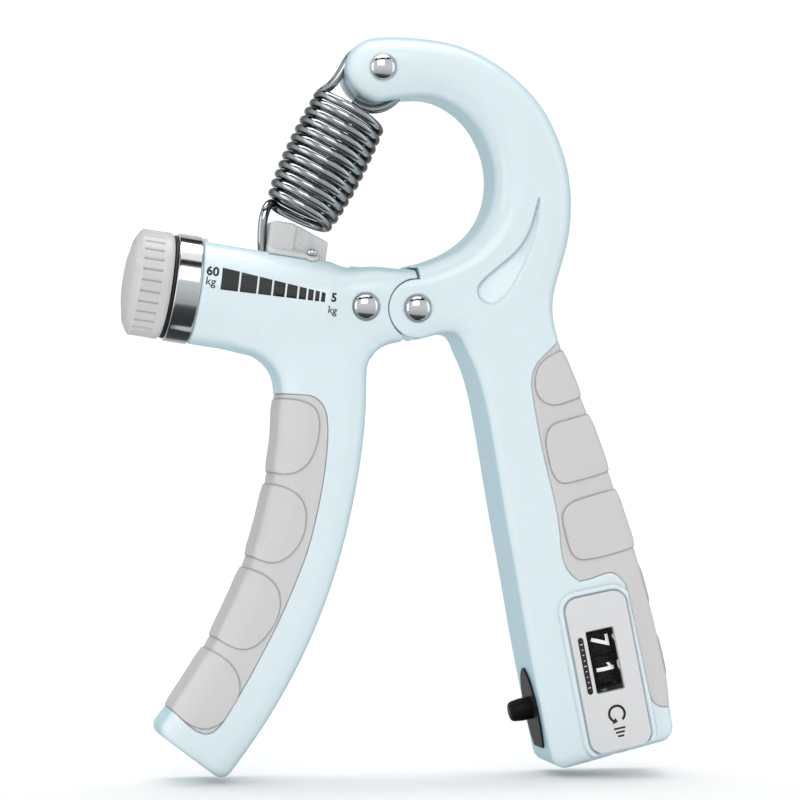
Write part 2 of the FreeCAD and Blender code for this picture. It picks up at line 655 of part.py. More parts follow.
def make_barrel_ring():
    ring = barrel_cyl(BARREL_END, RING_END, RING_R)
    ring = ring.makeFillet(0.6, rim_edges(ring, RING_R))
    return ring.cut(barrel_cyl(BARREL_END - 1, RING_END + 1, BORE_R))


def make_scale_marks():
    """Thin raised bars on the -Y side of the barrel."""
    skin = barrel_cyl(15, 47.5, BARREL_R + MARK_PROUD).cut(barrel_cyl(14, 48, BARREL_R))
    bars = []
    end = MARKS_START
    for width, height in MARKS:
        bars.append(skin.common(barrel_box(end - width, end, -14, -6,
                                           MARK_H - height / 2, MARK_H + height / 2)))
        end -= width + MARK_GAP
    return Part.makeCompound(bars)


save("barrel_ring", make_barrel_ring())
save("seal_ring", barrel_tube(RING_END, SEAL_END, 11.1, 8.0))
save("screw_bush", barrel_tube(BUSH_START, BUSH_END, BORE_R, SCREW_R + CLEARANCE))
save("scale_marks", make_scale_marks())

# ---------------------------------------------------------------- adjuster
KNOB_R = 11.6
KNOB_END = 63.0
GROOVE_COUNT = 30
GROOVE_START = 57.2
GROOVE_R = 0.7
CAP_R = 8.6
CAP_START = 62.2
CAP_RIM_END = KNOB_END + 0.1
SCREW_END = 60.5
CLIP_START, CLIP_END = 46.75, 47.5

CARRIAGE_START, CARRIAGE_END = 20.9, 33.8   # at rest
CARRIAGE_HALF = SLOT_HALF - 0.15            # half width in the barrel's slot
CARRIAGE_TOP = 13.4
NUT_R = 3.1
ANCHOR_S, ANCHOR_H = 31.85, 7.0             # spring anchor pin in barrel coordinates
ANCHOR = barrel_vec(ANCHOR_S, ANCHOR_H)
ANCHOR_R = 1.2
POINTER_S, POINTER_Y = 24.7, -3.2
POINTER_R = 0.7


def make_knob():
    knob = barrel_cyl(SEAL_END + 0.05, KNOB_END, KNOB_R)
    knob = knob.makeFillet(1.2, rim_edges(knob, KNOB_R, barrel_vec(KNOB_END, 0)))
    grooves = []
    for k in range(GROOVE_COUNT):
        angle = 2 * math.pi * k / GROOVE_COUNT
        reach = KNOB_R + GROOVE_R / 2
        base = barrel_vec(GROOVE_START, reach * math.cos(angle), reach * math.sin(angle))
        grooves.append(Part.makeCylinder(GROOVE_R, KNOB_END + 1.8 - GROOVE_START, base,
                                         BARREL_AXIS))
    knob = knob.cut(Part.makeCompound(grooves))
    knob = knob.cut(barrel_cyl(SEAL_END - 1, SCREW_END, SCREW_R))
    knob = knob.cut(barrel_cyl(SEAL_END - 1, 55.4, 8.4))
    return knob.cut(barrel_cyl(CAP_START, 65, CAP_R))


def make_knob_cap():
    bevel = Part.makeCone(CAP_R, 7.0, 0.5, barrel_vec(CAP_RIM_END, 0), BARREL_AXIS)
    return clean(barrel_cyl(CAP_START, CAP_RIM_END, CAP_R).fuse(bevel))


def make_lead_screw():
    screw = barrel_cyl(17.2, SCREW_END, SCREW_R)
    screw = screw.fuse(barrel_cyl(BUSH_END + 0.06, BUSH_END + 1.3, 3.6))
    # Keeps the clip's place clear down to the screw's surface.
    return clean(screw.cut(barrel_tube(CLIP_START, CLIP_END, 3.0, SCREW_R)))


def make_carriage():
    start, end, half = CARRIAGE_START, CARRIAGE_END, CARRIAGE_HALF
    body = barrel_cyl(start + 1.2, end, BORE_R - 0.1)
    body = body.fuse(barrel_box(start, end, -half, half, 6.4, CARRIAGE_TOP))
    body = body.fuse(barrel_box(28.2, end, -half, half, 6.4, 17.4))
    body = body.cut(barrel_box(start - 1, end + 1, -10, 10, -10, -6.2))
    body = body.cut(barrel_cyl(start - 1, end + 1, NUT_R))
    body = body.cut(barrel_box(27.6, end + 1, -1.5, 1.5, 3.15, 20))     # fork for the lower hook
    body = body.cut(drill_y(ANCHOR.x, ANCHOR.z, ANCHOR_R))
    hole = barrel_vec(POINTER_S, 10.5, POINTER_Y)
    return clean(body.cut(Part.makeCylinder(POINTER_R, 3.0, hole, BARREL_UP)))


def make_pointer_screw():
    shank = Part.makeCylinder(POINTER_R, 2.9, barrel_vec(POINTER_S, 10.6, POINTER_Y), BARREL_UP)
    head = Part.makeCylinder(1.15, 0.8, barrel_vec(POINTER_S, CARRIAGE_TOP, POINTER_Y), BARREL_UP)
    return clean(shank.fuse(head))


save("tension_knob", make_knob())
save("knob_cap", make_knob_cap())
save("lead_screw", make_lead_screw())
save("screw_clip", barrel_tube(CLIP_START, CLIP_END, 4.2, SCREW_R))
save("carriage", make_carriage())
save("lead_nut", barrel_tube(CARRIAGE_START + 0.2, CARRIAGE_END - 0.2, NUT_R,
                             SCREW_R + CLEARANCE))
save("anchor_pin", cyl_y(ANCHOR.x, ANCHOR.z, ANCHOR_R, -SLOT_HALF + 0.4, SLOT_HALF - 0.4))
save("pointer_screw", make_pointer_screw())

# ---------------------------------------------------------------- tension spring
# One wire: a loop over the top roller, the tapering coil, and a hook around the anchor pin.
WIRE_R = 1.0
COILS = 12.0 + 132.0 / 360.0
COIL_PITCH = 2.12
COIL_TOP_R, COIL_BOTTOM_R = 7.7, 6.5    # centreline radii of the coil
COIL_START = 9.9                        # distance of the coil from the top pin
COIL_START_ANGLE = 24
COIL_SHIFT = -0.6                       # coil axis beside the line between the pins
STEPS_PER_COIL = 14
LOOP_R = 6.7                            # centreline radius of the top loop
LOOP_DROP = 1.6                         # the loop hangs this far below the pin's centre
LOOP_ANGLES = [-100, -112, -125, -140, -155, -170, -185, -200, -215, -230, -245, -260, -275,
               -290, -305, -320, -335, -348, -360]
HOOK_R = 2.5                            # centreline radius of the lower hook

# (distance along the spring, distance across, y)
LOOP_TO_COIL = [(4.4, 6.95, 0.1), (6.6, 7.15, 0.55), (8.6, 6.95, 1.75)]
COIL_TO_HOOK = [(36.9, -6.95, 1.35), (38.2, -7.0, 0.45), (39.9, -6.7, 0.05), (42.4, -5.7, 0.0),
                (45.2, -4.4, 0.0), (47.3, -3.25, 0.0)]


def make_tension_spring():
    top = Vector(TOP_X, 0, TOP_Z)
    along = ANCHOR - top
    span = along.Length
    along.normalize()
    across = Vector(-along.z, 0, along.x)

    stations = []
    for degrees in LOOP_ANGLES:
        angle = math.radians(degrees)
        stations.append((LOOP_DROP - LOOP_R * math.sin(angle), LOOP_R * math.cos(angle), 0.0))
    stations += LOOP_TO_COIL
    steps = int(STEPS_PER_COIL * COILS)
    for i in range(steps + 1):
        part = i / steps
        angle = math.radians(COIL_START_ANGLE) + 2 * math.pi * COILS * part
        radius = COIL_TOP_R + (COIL_BOTTOM_R - COIL_TOP_R) * part
        stations.append((COIL_START + COIL_PITCH * COILS * part,
                         COIL_SHIFT + radius * math.cos(angle), radius * math.sin(angle)))
    stations += COIL_TO_HOOK
    for degrees in range(180, -75, -30):
        angle = math.radians(degrees)
        stations.append((span - 0.2 + HOOK_R * math.sin(angle), HOOK_R * math.cos(angle), 0.0))

    curve = Part.BSplineCurve()
    curve.interpolate([top + along * a + across * b + Vector(0, y, 0) for a, b, y in stations])
    return wire_spring(curve.toShape(), WIRE_R)


save("tension_spring", make_tension_spring())
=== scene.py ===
"""Spring hand gripper with a repetition counter.

Two handles meet at a hinge whose axis runs along y, and spread downwards from it: the fixed
handle on the +x side, the moving one on the -x side. z is up and the front faces -y. The fixed
handle hooks up over the hinge to a spring pin, and a barrel on the moving handle, pointing to -x
and a little up, holds a carriage and a knob. A coil spring joins the pin to the carriage.
Shapes are written in millimetres from the hinge axis; to_world() turns them into metres.
"""
import json
import math
import bpy
import bmesh
import numpy as np
from mathutils import Vector, Matrix

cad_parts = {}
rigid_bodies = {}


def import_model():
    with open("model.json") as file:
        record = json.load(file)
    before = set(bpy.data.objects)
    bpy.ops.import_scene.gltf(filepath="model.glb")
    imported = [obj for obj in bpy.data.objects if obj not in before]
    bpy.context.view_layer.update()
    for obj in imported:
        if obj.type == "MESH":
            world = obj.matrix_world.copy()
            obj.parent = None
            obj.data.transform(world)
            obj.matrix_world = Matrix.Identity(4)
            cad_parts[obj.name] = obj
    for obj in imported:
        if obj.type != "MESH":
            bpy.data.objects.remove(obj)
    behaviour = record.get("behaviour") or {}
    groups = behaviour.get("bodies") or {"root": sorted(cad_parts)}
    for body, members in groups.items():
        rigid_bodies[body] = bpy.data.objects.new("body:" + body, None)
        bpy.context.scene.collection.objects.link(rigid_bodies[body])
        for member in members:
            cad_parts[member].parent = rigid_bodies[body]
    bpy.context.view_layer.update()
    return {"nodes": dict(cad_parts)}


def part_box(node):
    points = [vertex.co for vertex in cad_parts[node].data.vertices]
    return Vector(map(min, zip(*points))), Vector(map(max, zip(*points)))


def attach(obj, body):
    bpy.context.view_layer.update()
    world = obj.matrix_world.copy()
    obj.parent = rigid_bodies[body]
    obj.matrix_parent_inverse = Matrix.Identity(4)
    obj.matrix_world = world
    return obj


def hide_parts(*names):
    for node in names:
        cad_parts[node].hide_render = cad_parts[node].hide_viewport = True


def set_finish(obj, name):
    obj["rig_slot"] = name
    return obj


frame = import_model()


def cell_size(full):
    return full


EX, EY, _ = np.eye(3)
pin_low, pin_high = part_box("pivot_pin")
HINGE = np.array([(pin_low[0] + pin_high[0]) / 2, 0.0, (pin_low[2] + pin_high[2]) / 2]) * 1000.0
SHELL_CELL = cell_size(0.34)        # mesh cell of the handle shells
GRIP_CELL = SHELL_CELL * 0.8
OUTLINE_CELL = cell_size(0.22)      # cell of the flat distance grids

# Handles: (x, z) places
HALF = 10.5                              # half thickness of both handles along y
SPRING_PIN = (-7.7, 52.0)
HINGE_PIN = (0.0, 0.0)
RIVET = (-11.4, 0.3)
EAR_R = 7.0                              # round end of the hook, about the spring pin
KNUCKLE_R = 6.3
PIN_RECESS_R, PIN_RECESS_DEPTH = 3.05, 0.45

# Barrel coordinates: s runs outwards along its axis, h is height above the axis
BARREL_TILT = math.radians(8.3)
BARREL_ORIGIN = np.array([0.0, 0.0, -3.04])
BARREL_DIR = np.array([-math.cos(BARREL_TILT), 0.0, math.sin(BARREL_TILT)])
BARREL_UP = np.array([math.sin(BARREL_TILT), 0.0, math.cos(BARREL_TILT)])
BARREL_AXIS = (BARREL_ORIGIN, BARREL_DIR, EY)
BARREL_R = 11.6

# Counter coordinates: u runs down the fixed handle, v towards its outer side
COUNTER_TILT = math.radians(11.2)
COUNTER_CENTRE = np.array([41.5, 0.0, -76.8])
HANDLE_DOWN = np.array([math.sin(COUNTER_TILT), 0.0, -math.cos(COUNTER_TILT)])
HANDLE_OUT = np.array([math.cos(COUNTER_TILT), 0.0, math.sin(COUNTER_TILT)])
WHEEL_Y = -4.9                           # axis of the number wheels and the reset button
BUTTON_U = 7.7                           # the counter button


def counter_point(u, v, y=0.0):
    return COUNTER_CENTRE + HANDLE_DOWN * u + HANDLE_OUT * v + EY * y


def barrel_point(s, h, y=0.0):
    return BARREL_ORIGIN + BARREL_DIR * s + BARREL_UP * h + EY * y


def plane_coords(x, z, origin, first, second):
    """Coordinates along two directions of the x-z plane."""
    dx, dz = x - origin[0], z - origin[2]
    return dx * first[0] + dz * first[2], dx * second[0] + dz * second[2]


def counter_coords(x, z):
    return plane_coords(x, z, COUNTER_CENTRE, HANDLE_DOWN, HANDLE_OUT)


def barrel_coords(x, z):
    return plane_coords(x, z, BARREL_ORIGIN, BARREL_DIR, BARREL_UP)


def on_circle(centre, radius, angle):
    return centre[0] + radius * math.cos(angle), centre[1] + radius * math.sin(angle)


def ear_points(*degrees):
    return [on_circle(SPRING_PIN, EAR_R, math.radians(d)) for d in degrees]


# ------------------------------------------------------------------ outlines, as (x, z) points
HOOK_OUTER = [
    (SPRING_PIN[0], SPRING_PIN[1] + EAR_R), (2.5, 58.9), (9.0, 57.9), (17.0, 54.7), (24.2, 49.5),
    (28.9, 44.2), (32.4, 37.6), (34.9, 28.9), (35.3, 22.4), (34.4, 14.6), (32.3, 7.4), (30.9, 1.0),
    (31.6, -5.2), (35.2, -15.4), (39.5, -26.2), (44.6, -40.2), (49.3, -54.2), (52.6, -66.0),
    (54.6, -74.0), (56.1, -81.0), (57.0, -89.0)]
HOOK_INNER = [
    (-1.3, 9.5), (4.5, 11.0), (10.6, 14.1), (14.3, 17.5), (16.7, 21.5), (17.9, 26.4), (17.8, 31.2),
    (16.3, 36.3), (13.5, 40.8), (9.5, 44.2), (4.8, 46.1), (-0.4, 46.2)]
RIGHT_INNER = [
    (11.0, -8.2), (12.6, -11.6), (14.7, -17.6), (16.5, -26.0), (18.3, -36.4), (20.1, -46.9),
    (21.9, -56.6), (23.6, -66.2), (25.2, -75.0), (26.9, -83.4), (29.6, -96.0)]
LEFT_OUTER = [
    (-29.3, -17.4), (-29.3, -22.0), (-29.6, -28.0), (-30.3, -33.0), (-31.3, -38.5), (-33.1, -46.4),
    (-35.8, -55.0), (-39.4, -63.6), (-43.8, -72.2), (-49.0, -80.6), (-55.4, -89.4)]
LEFT_INNER = [
    (-10.4, -15.0), (-10.5, -20.5), (-11.1, -28.2), (-12.3, -36.4), (-14.1, -45.2), (-16.4, -54.0),
    (-19.3, -62.8), (-22.9, -71.6), (-27.3, -80.4), (-32.8, -89.6), (-40.6, -100.4)]
RIGHT_RING = (
    ear_points(135, 112) + HOOK_OUTER
    + [(58.4, -97.0), (57.0, -104.0), (50.0, -108.0), (38.0, -108.0), (32.4, -103.5)]
    + RIGHT_INNER[::-1]
    + [(10.1, -6.4), (8.9, -5.4), (7.0, -5.2), (3.5, -5.9), (-0.5, -7.0), (-8.0, -7.6),
       (-12.6, -4.0), (-14.0, 1.0), (-12.0, 6.5), (-7.0, 9.0)]
    + HOOK_INNER + ear_points(292, 268, 240, 205, 170))
LEFT_RING = (
    [(-41.2, -5.8), (-38.6, -8.4), (-35.0, -9.7), (-32.4, -11.3), (-30.2, -13.9)] + LEFT_OUTER
    + [(-60.5, -96.5), (-61.0, -103.0), (-55.0, -107.5), (-48.0, -107.5)] + LEFT_INNER[::-1]
    + [(-10.0, -11.8), (-8.4, -9.3), (-5.4, -7.7), (-2.0, -7.1), (2.5, -7.0), (7.0, -4.0),
       (8.0, 1.0), (6.5, 6.0), (2.0, 8.5), (-2.5, 8.75), (-9.5, 9.2), (-16.0, 8.0), (-24.0, 5.5),
       (-32.0, 3.8), (-38.8, 1.6), (-41.8, -1.8)])
# Leaf-shaped relief below the hook, from its tip down the left edge and up the right one
LEAF = [(27.06, 24.5), (25.2, 18.6), (20.9, 11.9), (14.9, 6.8), (13.2, 4.4), (13.9, 2.0),
        (16.4, 1.0), (20.9, 4.8), (25.1, 13.0), (26.9, 19.5)]
# Inner edges of the soft grips, from the top down
RIGHT_GRIP_EDGE = [
    (31.0, -7.4), (28.6, -9.6), (26.2, -12.4), (25.3, -15.4), (25.6, -19.5), (28.5, -34.2),
    (31.55, -48.9), (33.4, -57.0), (35.9, -59.3), (39.5, -58.4), (43.4, -57.5), (46.3, -60.0)]
RIGHT_GRIP_TAIL = [(51.4, -83.6), (53.2, -86.4), (57.2, -86.9)]
RIGHT_GRIP_OUTSIDE = [(70.0, -86.9), (70.0, -3.0), (33.5, -3.0), (32.0, -5.6)]
LEFT_GRIP_EDGE = [
    (-28.6, -18.5), (-26.2, -18.7), (-23.6, -18.9), (-21.0, -20.6), (-19.7, -25.4),
    (-19.9, -31.0), (-20.5, -36.2), (-21.9, -43.6), (-23.6, -50.6), (-27.0, -59.8),
    (-31.2, -69.0), (-36.6, -79.2), (-41.2, -86.8), (-43.2, -89.6), (-45.2, -91.0),
    (-47.2, -90.8), (-50.0, -88.9)]
LEFT_GRIP_OUTSIDE = [(-53.6, -85.4), (-80.0, -66.0), (-80.0, -18.0), (-32.0, -18.2)]
# Finger pads, each a line open towards the outer side of its handle
LEFT_PAD_LINES = [
    [(-31.5, -19.5), (-25.8, -20.0), (-22.6, -21.7), (-21.6, -24.8), (-22.0, -28.4),
     (-23.9, -33.2), (-28.0, -35.7), (-33.6, -34.4)],
    [(-33.9, -37.6), (-28.2, -39.0), (-25.3, -41.6), (-24.5, -45.4), (-26.3, -51.2),
     (-31.0, -54.6), (-37.8, -52.2)],
    [(-39.0, -55.4), (-33.8, -57.2), (-31.0, -59.8), (-30.1, -63.4), (-32.2, -69.2),
     (-37.0, -73.0), (-45.3, -69.4)],
    [(-47.0, -72.4), (-42.2, -75.0), (-39.5, -78.2), (-38.8, -82.0), (-41.6, -87.8),
     (-46.6, -89.9), (-50.7, -88.2), (-54.0, -85.2)]]
RIGHT_PAD_LINES = [
    [(33.6, -8.4), (31.0, -9.4), (28.4, -10.8), (26.7, -12.8), (26.0, -15.7), (26.4, -18.2),
     (27.8, -20.0), (30.1, -20.8), (33.0, -20.2), (37.0, -18.8)],
    [(38.6, -22.6), (32.3, -24.3), (29.6, -25.5), (28.5, -27.8), (28.9, -32.0), (29.9, -35.6),
     (31.7, -37.7), (34.2, -37.6), (42.6, -35.2)],
    [(44.4, -39.1), (36.2, -41.3), (33.5, -42.6), (32.2, -44.8), (32.7, -48.4), (33.7, -52.0),
     (35.5, -54.3), (38.1, -54.4), (48.0, -51.9)]]
PAD_BOX = ((-82.0, -108.0), (82.0, 4.0))
LEAF_BOX = ((8.0, -4.0), (32.0, 30.0))


def spline(points, per=10, closed=False):
    """Interpolating cubic spline (chord-length parameter), with natural ends where it is open.

    per is the number of samples for each 4 mm of chord.
    """
    P = np.array(points, float)
    n = len(P)
    after = np.roll(P, -1, 0)
    gap = np.linalg.norm(after - P, axis=1)
    A, B = np.zeros((n, n)), np.zeros(P.shape)
    for i in range(n) if closed else range(1, n - 1):
        back, ahead = gap[i - 1], gap[i]
        A[i, i - 1] += ahead
        A[i, i] += 2 * (back + ahead)
        A[i, (i + 1) % n] += back
        B[i] = 3 * (ahead * (P[i] - P[i - 1]) / back + back * (after[i] - P[i]) / ahead)
    if not closed:
        A[0, :2] = 2, 1
        B[0] = 3 * (P[1] - P[0]) / gap[0]
        A[-1, -2:] = 1, 2
        B[-1] = 3 * (P[-1] - P[-2]) / gap[-2]
    slope = np.linalg.solve(A, B)
    out = []
    for i in range(n if closed else n - 1):
        length = gap[i]
        count = max(3, int(per * length / 4.0))
        t = (np.arange(count) / count)[:, None]
        out.append((2 * t**3 - 3 * t**2 + 1) * P[i] + (t**3 - 2 * t**2 + t) * length * slope[i]
                   + (-2 * t**3 + 3 * t**2) * after[i]
                   + (t**3 - t**2) * length * slope[(i + 1) % n])
    if not closed:
        out.append(P[-1:])
    return np.vstack(out)


class Field:
    """Distance to a line in the x-z plane, on a fine grid; negative inside a closed line."""

    def __init__(self, line, cell=OUTLINE_CELL, box=None, closed=True, margin=6.0):
        line = np.asarray(line, float)
        low, high = (line.min(0) - margin, line.max(0) + margin) if box is None else box
        self.low, self.cell = np.array(low, float), cell
        nx, nz = [int(math.ceil((high[i] - low[i]) / cell)) + 1 for i in (0, 1)]
        X, Z = np.meshgrid(low[0] + cell * np.arange(nx), low[1] + cell * np.arange(nz),
                           indexing="ij")
        nearest = np.full(X.shape, 1e18)
        inside = np.zeros(X.shape, bool)
        starts, ends = (line, np.roll(line, -1, 0)) if closed else (line[:-1], line[1:])
        for (ax, az), (bx, bz) in zip(starts, ends):
            dx, dz = bx - ax, bz - az
            t = np.clip(((X - ax) * dx + (Z - az) * dz) / (dx * dx + dz * dz + 1e-18), 0, 1)
            np.minimum(nearest, (X - ax - t * dx) ** 2 + (Z - az - t * dz) ** 2, out=nearest)
            spans = (az > Z) != (bz > Z)
            if closed and spans.any():
                crossing = ax + (Z - az) / (dz if dz != 0 else 1e-18) * dx
                inside ^= spans & (X < crossing)
        self.d = np.sqrt(nearest)
        self.d[inside] *= -1

    def __call__(self, x, z):
        d = self.d
        fx = np.clip((x - self.low[0]) / self.cell, 0, d.shape[0] - 1.001)
        fz = np.clip((z - self.low[1]) / self.cell, 0, d.shape[1] - 1.001)
        i, k = fx.astype(int), fz.astype(int)
        u, w = fx - i, fz - k
        return (d[i, k] * (1 - u) * (1 - w) + d[i + 1, k] * u * (1 - w)
                + d[i, k + 1] * (1 - u) * w + d[i + 1, k + 1] * u * w)


def pad_field(lines, outwards):
    """Union of the finger pads, each closed by pushing its ends outwards."""
    fields = []
    for points in lines:
        ends = np.array([np.array(points[-1]) + outwards, np.array(points[0]) + outwards])
        fields.append(Field(np.vstack([spline(points), ends]), box=PAD_BOX))
    fields[0].d = np.minimum.reduce([field.d for field in fields])
    return fields[0]


RIGHT_OUTLINE = Field(spline(RIGHT_RING, closed=True))
LEFT_OUTLINE = Field(spline(LEFT_RING, closed=True))
LEAF_OUTLINE = Field(spline(LEAF, closed=True))
LEAF_LEFT = Field(spline(LEAF[:5]), cell=0.3, box=LEAF_BOX, closed=False)
LEAF_RIGHT = Field(spline(LEAF[6:] + LEAF[:1]), cell=0.3, box=LEAF_BOX, closed=False)
RIGHT_GRIP = Field(np.vstack([spline(RIGHT_GRIP_EDGE[:9]), spline(RIGHT_GRIP_EDGE[8:]),
                              spline(RIGHT_GRIP_TAIL), RIGHT_GRIP_OUTSIDE]))
LEFT_GRIP = Field(np.vstack([spline(LEFT_GRIP_EDGE[:12]), spline(LEFT_GRIP_EDGE[11:]),
                             LEFT_GRIP_OUTSIDE]))
LEFT_PADS = pad_field(LEFT_PAD_LINES, np.array((-18.0, 4.0)))
RIGHT_PADS = pad_field(RIGHT_PAD_LINES, np.array((18.0, 4.0)))


# ------------------------------------------------------------------ signed distance tools
def smin(a, b, k):
    """Minimum, blended over a width k."""
    h = np.maximum(k - np.abs(a - b), 0) / k
    return np.minimum(a, b) - h * h * h * k / 6.0


def smax(a, b, k):
    return -smin(-a, -b, k)


def cut(d, parts, blend):
    """Take the overlap of the parts out of d."""
    return smax(d, -np.maximum.reduce(parts), blend)


def smooth_step(x):
    x = np.clip(x, 0, 1)
    return x * x * (3 - 2 * x)


def overlap(a, b, radius):
    """Intersection with a rounded edge."""
    p, q = a + radius, b + radius
    corner = np.sqrt(np.maximum(p, 0) ** 2 + np.maximum(q, 0) ** 2)
    return np.minimum(np.maximum(p, q), 0) + corner - radius


def rounded_box(a, b, half_a, half_b, radius):
    return overlap(np.abs(a) - half_a, np.abs(b) - half_b, radius)


def distance_to(x, z, centre):
    return np.hypot(x - centre[0], z - centre[1])


def surface_net(f, low, high, cell):
    """Smooth closed mesh of f = 0 (surface nets), its points pulled onto the surface."""
    low, high = np.array(low, float), np.array(high, float)
    n = np.ceil((high - low) / cell).astype(int) + 1
    axes = [low[i] + cell * np.arange(n[i]) for i in range(3)]
    values = np.empty(tuple(n), np.float32)
    X, Z = np.meshgrid(axes[0], axes[2], indexing="ij")
    for j in range(n[1]):                                   # slice by slice keeps memory small
        values[:, j, :] = f(X, np.full_like(X, axes[1][j]), Z)
    inside = values < 0
    corners = [(a, b, c) for a in (0, 1) for b in (0, 1) for c in (0, 1)]
    count = sum(inside[a:n[0] - 1 + a, b:n[1] - 1 + b, c:n[2] - 1 + c].astype(np.int8)
                for a, b, c in corners)
    active = (count > 0) & (count < 8)
    cells = np.argwhere(active)
    index = np.full(active.shape, -1, np.int64)
    index[active] = np.arange(len(cells))

    # one point per cell, at the mean of the crossings on its edges
    total, crossings = np.zeros((len(cells), 3)), np.zeros(len(cells))
    i, j, k = cells.T
    for p in corners:
        for axis in range(3):
            if p[axis]:
                continue
            q = list(p)
            q[axis] = 1
            start = values[i + p[0], j + p[1], k + p[2]].astype(float)
            end = values[i + q[0], j + q[1], k + q[2]].astype(float)
            crosses = (start < 0) != (end < 0)
            t = np.where(crosses, start / np.where(crosses, start - end, 1), 0)
            point = np.array(p, float)[None, :].repeat(len(cells), 0)
            point[:, axis] += t
            total[crosses] += point[crosses]
            crossings[crosses] += 1
    P = low + cell * (cells + total / crossings[:, None])
    eps = 0.4 * cell
    for _ in range(3):
        distance = f(*P.T)
        gradient = np.stack([(f(*(P + step).T) - f(*(P - step).T)) / (2 * eps)
                             for step in np.eye(3) * eps], 1)
        squared = np.maximum((gradient * gradient).sum(1), 0.2)
        move = -(distance / squared)[:, None] * gradient
        length = np.linalg.norm(move, axis=1, keepdims=True)
        P = P + move * np.minimum(1, 0.4 * cell / np.maximum(length, 1e-9))

    # one face round each grid edge that crosses the surface
    faces = []
    for axis in range(3):
        o1, o2 = (axis + 1) % 3, (axis + 2) % 3
        first, second = [slice(None)] * 3, [slice(None)] * 3
        first[axis], second[axis] = slice(None, -1), slice(1, None)
        a, b = inside[tuple(first)], inside[tuple(second)]
        e = np.argwhere(a != b)
        e = e[(e[:, o1] > 0) & (e[:, o2] > 0) & (e[:, o1] < n[o1] - 1) & (e[:, o2] < n[o2] - 1)]
        quads = []
        for d1, d2 in ((-1, -1), (0, -1), (0, 0), (-1, 0)):
            near = e.copy()
            near[:, o1] += d1
            near[:, o2] += d2
            quads.append(index[near[:, 0], near[:, 1], near[:, 2]])
        quads = np.stack(quads, 1)
        flip = ~a[e[:, 0], e[:, 1], e[:, 2]]
        quads[flip] = quads[flip][:, ::-1]
        faces.append(quads)
    return P, np.vstack(faces)


# ------------------------------------------------------------------ objects
def to_world(points):
    return (np.asarray(points, float) + HINGE) / 1000.0


def add_object(name, data):
    obj = bpy.data.objects.new(name, data)
    bpy.context.scene.collection.objects.link(obj)
    return obj


def register(obj, body, slot, nodes=()):
    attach(obj, body)
    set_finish(obj, slot)
    if nodes:
        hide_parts(*nodes)


def net_piece(name, f, low, high, cell, body, slot, nodes=(), crease=None):
    """Mesh of the field f; crease is a field stored on the points for the material's painted shade
    line round the finger pads.
    """
    P, F = surface_net(f, low, high, cell)
    mesh = bpy.data.meshes.new(name)
    mesh.vertices.add(len(P))
    mesh.vertices.foreach_set("co", to_world(P).astype(np.float32).ravel())
    mesh.loops.add(F.size)
    mesh.loops.foreach_set("vertex_index", F.astype(np.int32).ravel())
    mesh.polygons.add(len(F))
    mesh.polygons.foreach_set("loop_start", (np.arange(len(F)) * F.shape[1]).astype(np.int32))
    mesh.update(calc_edges=True)
    mesh.validate()
    mesh.polygons.foreach_set("use_smooth", np.ones(len(mesh.polygons), bool))
    obj = add_object(name, mesh)
    if crease is not None:
        attribute = mesh.attributes.new("crease", "FLOAT", "POINT")
        attribute.data.foreach_set("value", crease(*P.T).astype(np.float32))
    register(obj, body, slot, nodes)


def face_piece(name, points, faces, body, slot, nodes=(), weighted=True):
    """Smooth-shaded mesh from points and faces."""
    mesh = bpy.data.meshes.new(name)
    mesh.from_pydata([tuple(p) for p in to_world(points)], [],
                     [tuple(int(i) for i in face) for face in faces])
    bm = bmesh.new()
    bm.from_mesh(mesh)
    bmesh.ops.remove_doubles(bm, verts=bm.verts, dist=2e-6)
    bmesh.ops.recalc_face_normals(bm, faces=bm.faces)
    bm.to_mesh(mesh)
    bm.free()
    for polygon in mesh.polygons:
        polygon.use_smooth = True
    obj = add_object(name, mesh)
    if weighted:
        obj.modifiers.new("wn", "WEIGHTED_NORMAL").weight = 80
    register(obj, body, slot, nodes)


# ------------------------------------------------------------------ parts shared by the handles
def pin_recess(d, x, y, z, centre):
    """Shallow round recess for a pin head on the front and back."""
    return cut(d, [distance_to(x, z, centre) - PIN_RECESS_R,
                   HALF - PIN_RECESS_DEPTH - np.abs(y)], 0.25)


def grip_recess(d, raw, grip):
    """Step 0.8 deep in the shell, under the soft grip."""
    return smax(d, np.minimum(0.05 - grip, raw + 0.8), 0.12)


def grip_layer(raw, grip, pads):
    """Soft layer over the raw handle, with raised pads and a fine groove round each."""
    height = (0.32 * smooth_step(0.5 - pads / 0.30) + 0.25 * smooth_step(-pads / 2.6)
              - 0.16 * np.exp(-((pads - 0.12) / 0.22) ** 2))
    d = overlap(raw + 0.04 - height, grip, 0.5)
    return smax(d, -(raw + 0.78), 0.15)


# ------------------------------------------------------------------ fixed handle
def right_end(x, z):
    """Sloping plane that ends the handle at the bottom."""
    return (x - 26.0) * 0.2425 + (z + 102.05) * -0.9701


def right_raw(x, y, z):
    edge_r = 2.3 + 3.6 * smooth_step((z + 26.0) / 42.0)    # fullest at the hook
    d = overlap(RIGHT_OUTLINE(x, z), np.abs(y) - HALF, edge_r)
    return overlap(d, right_end(x, z), 3.4)


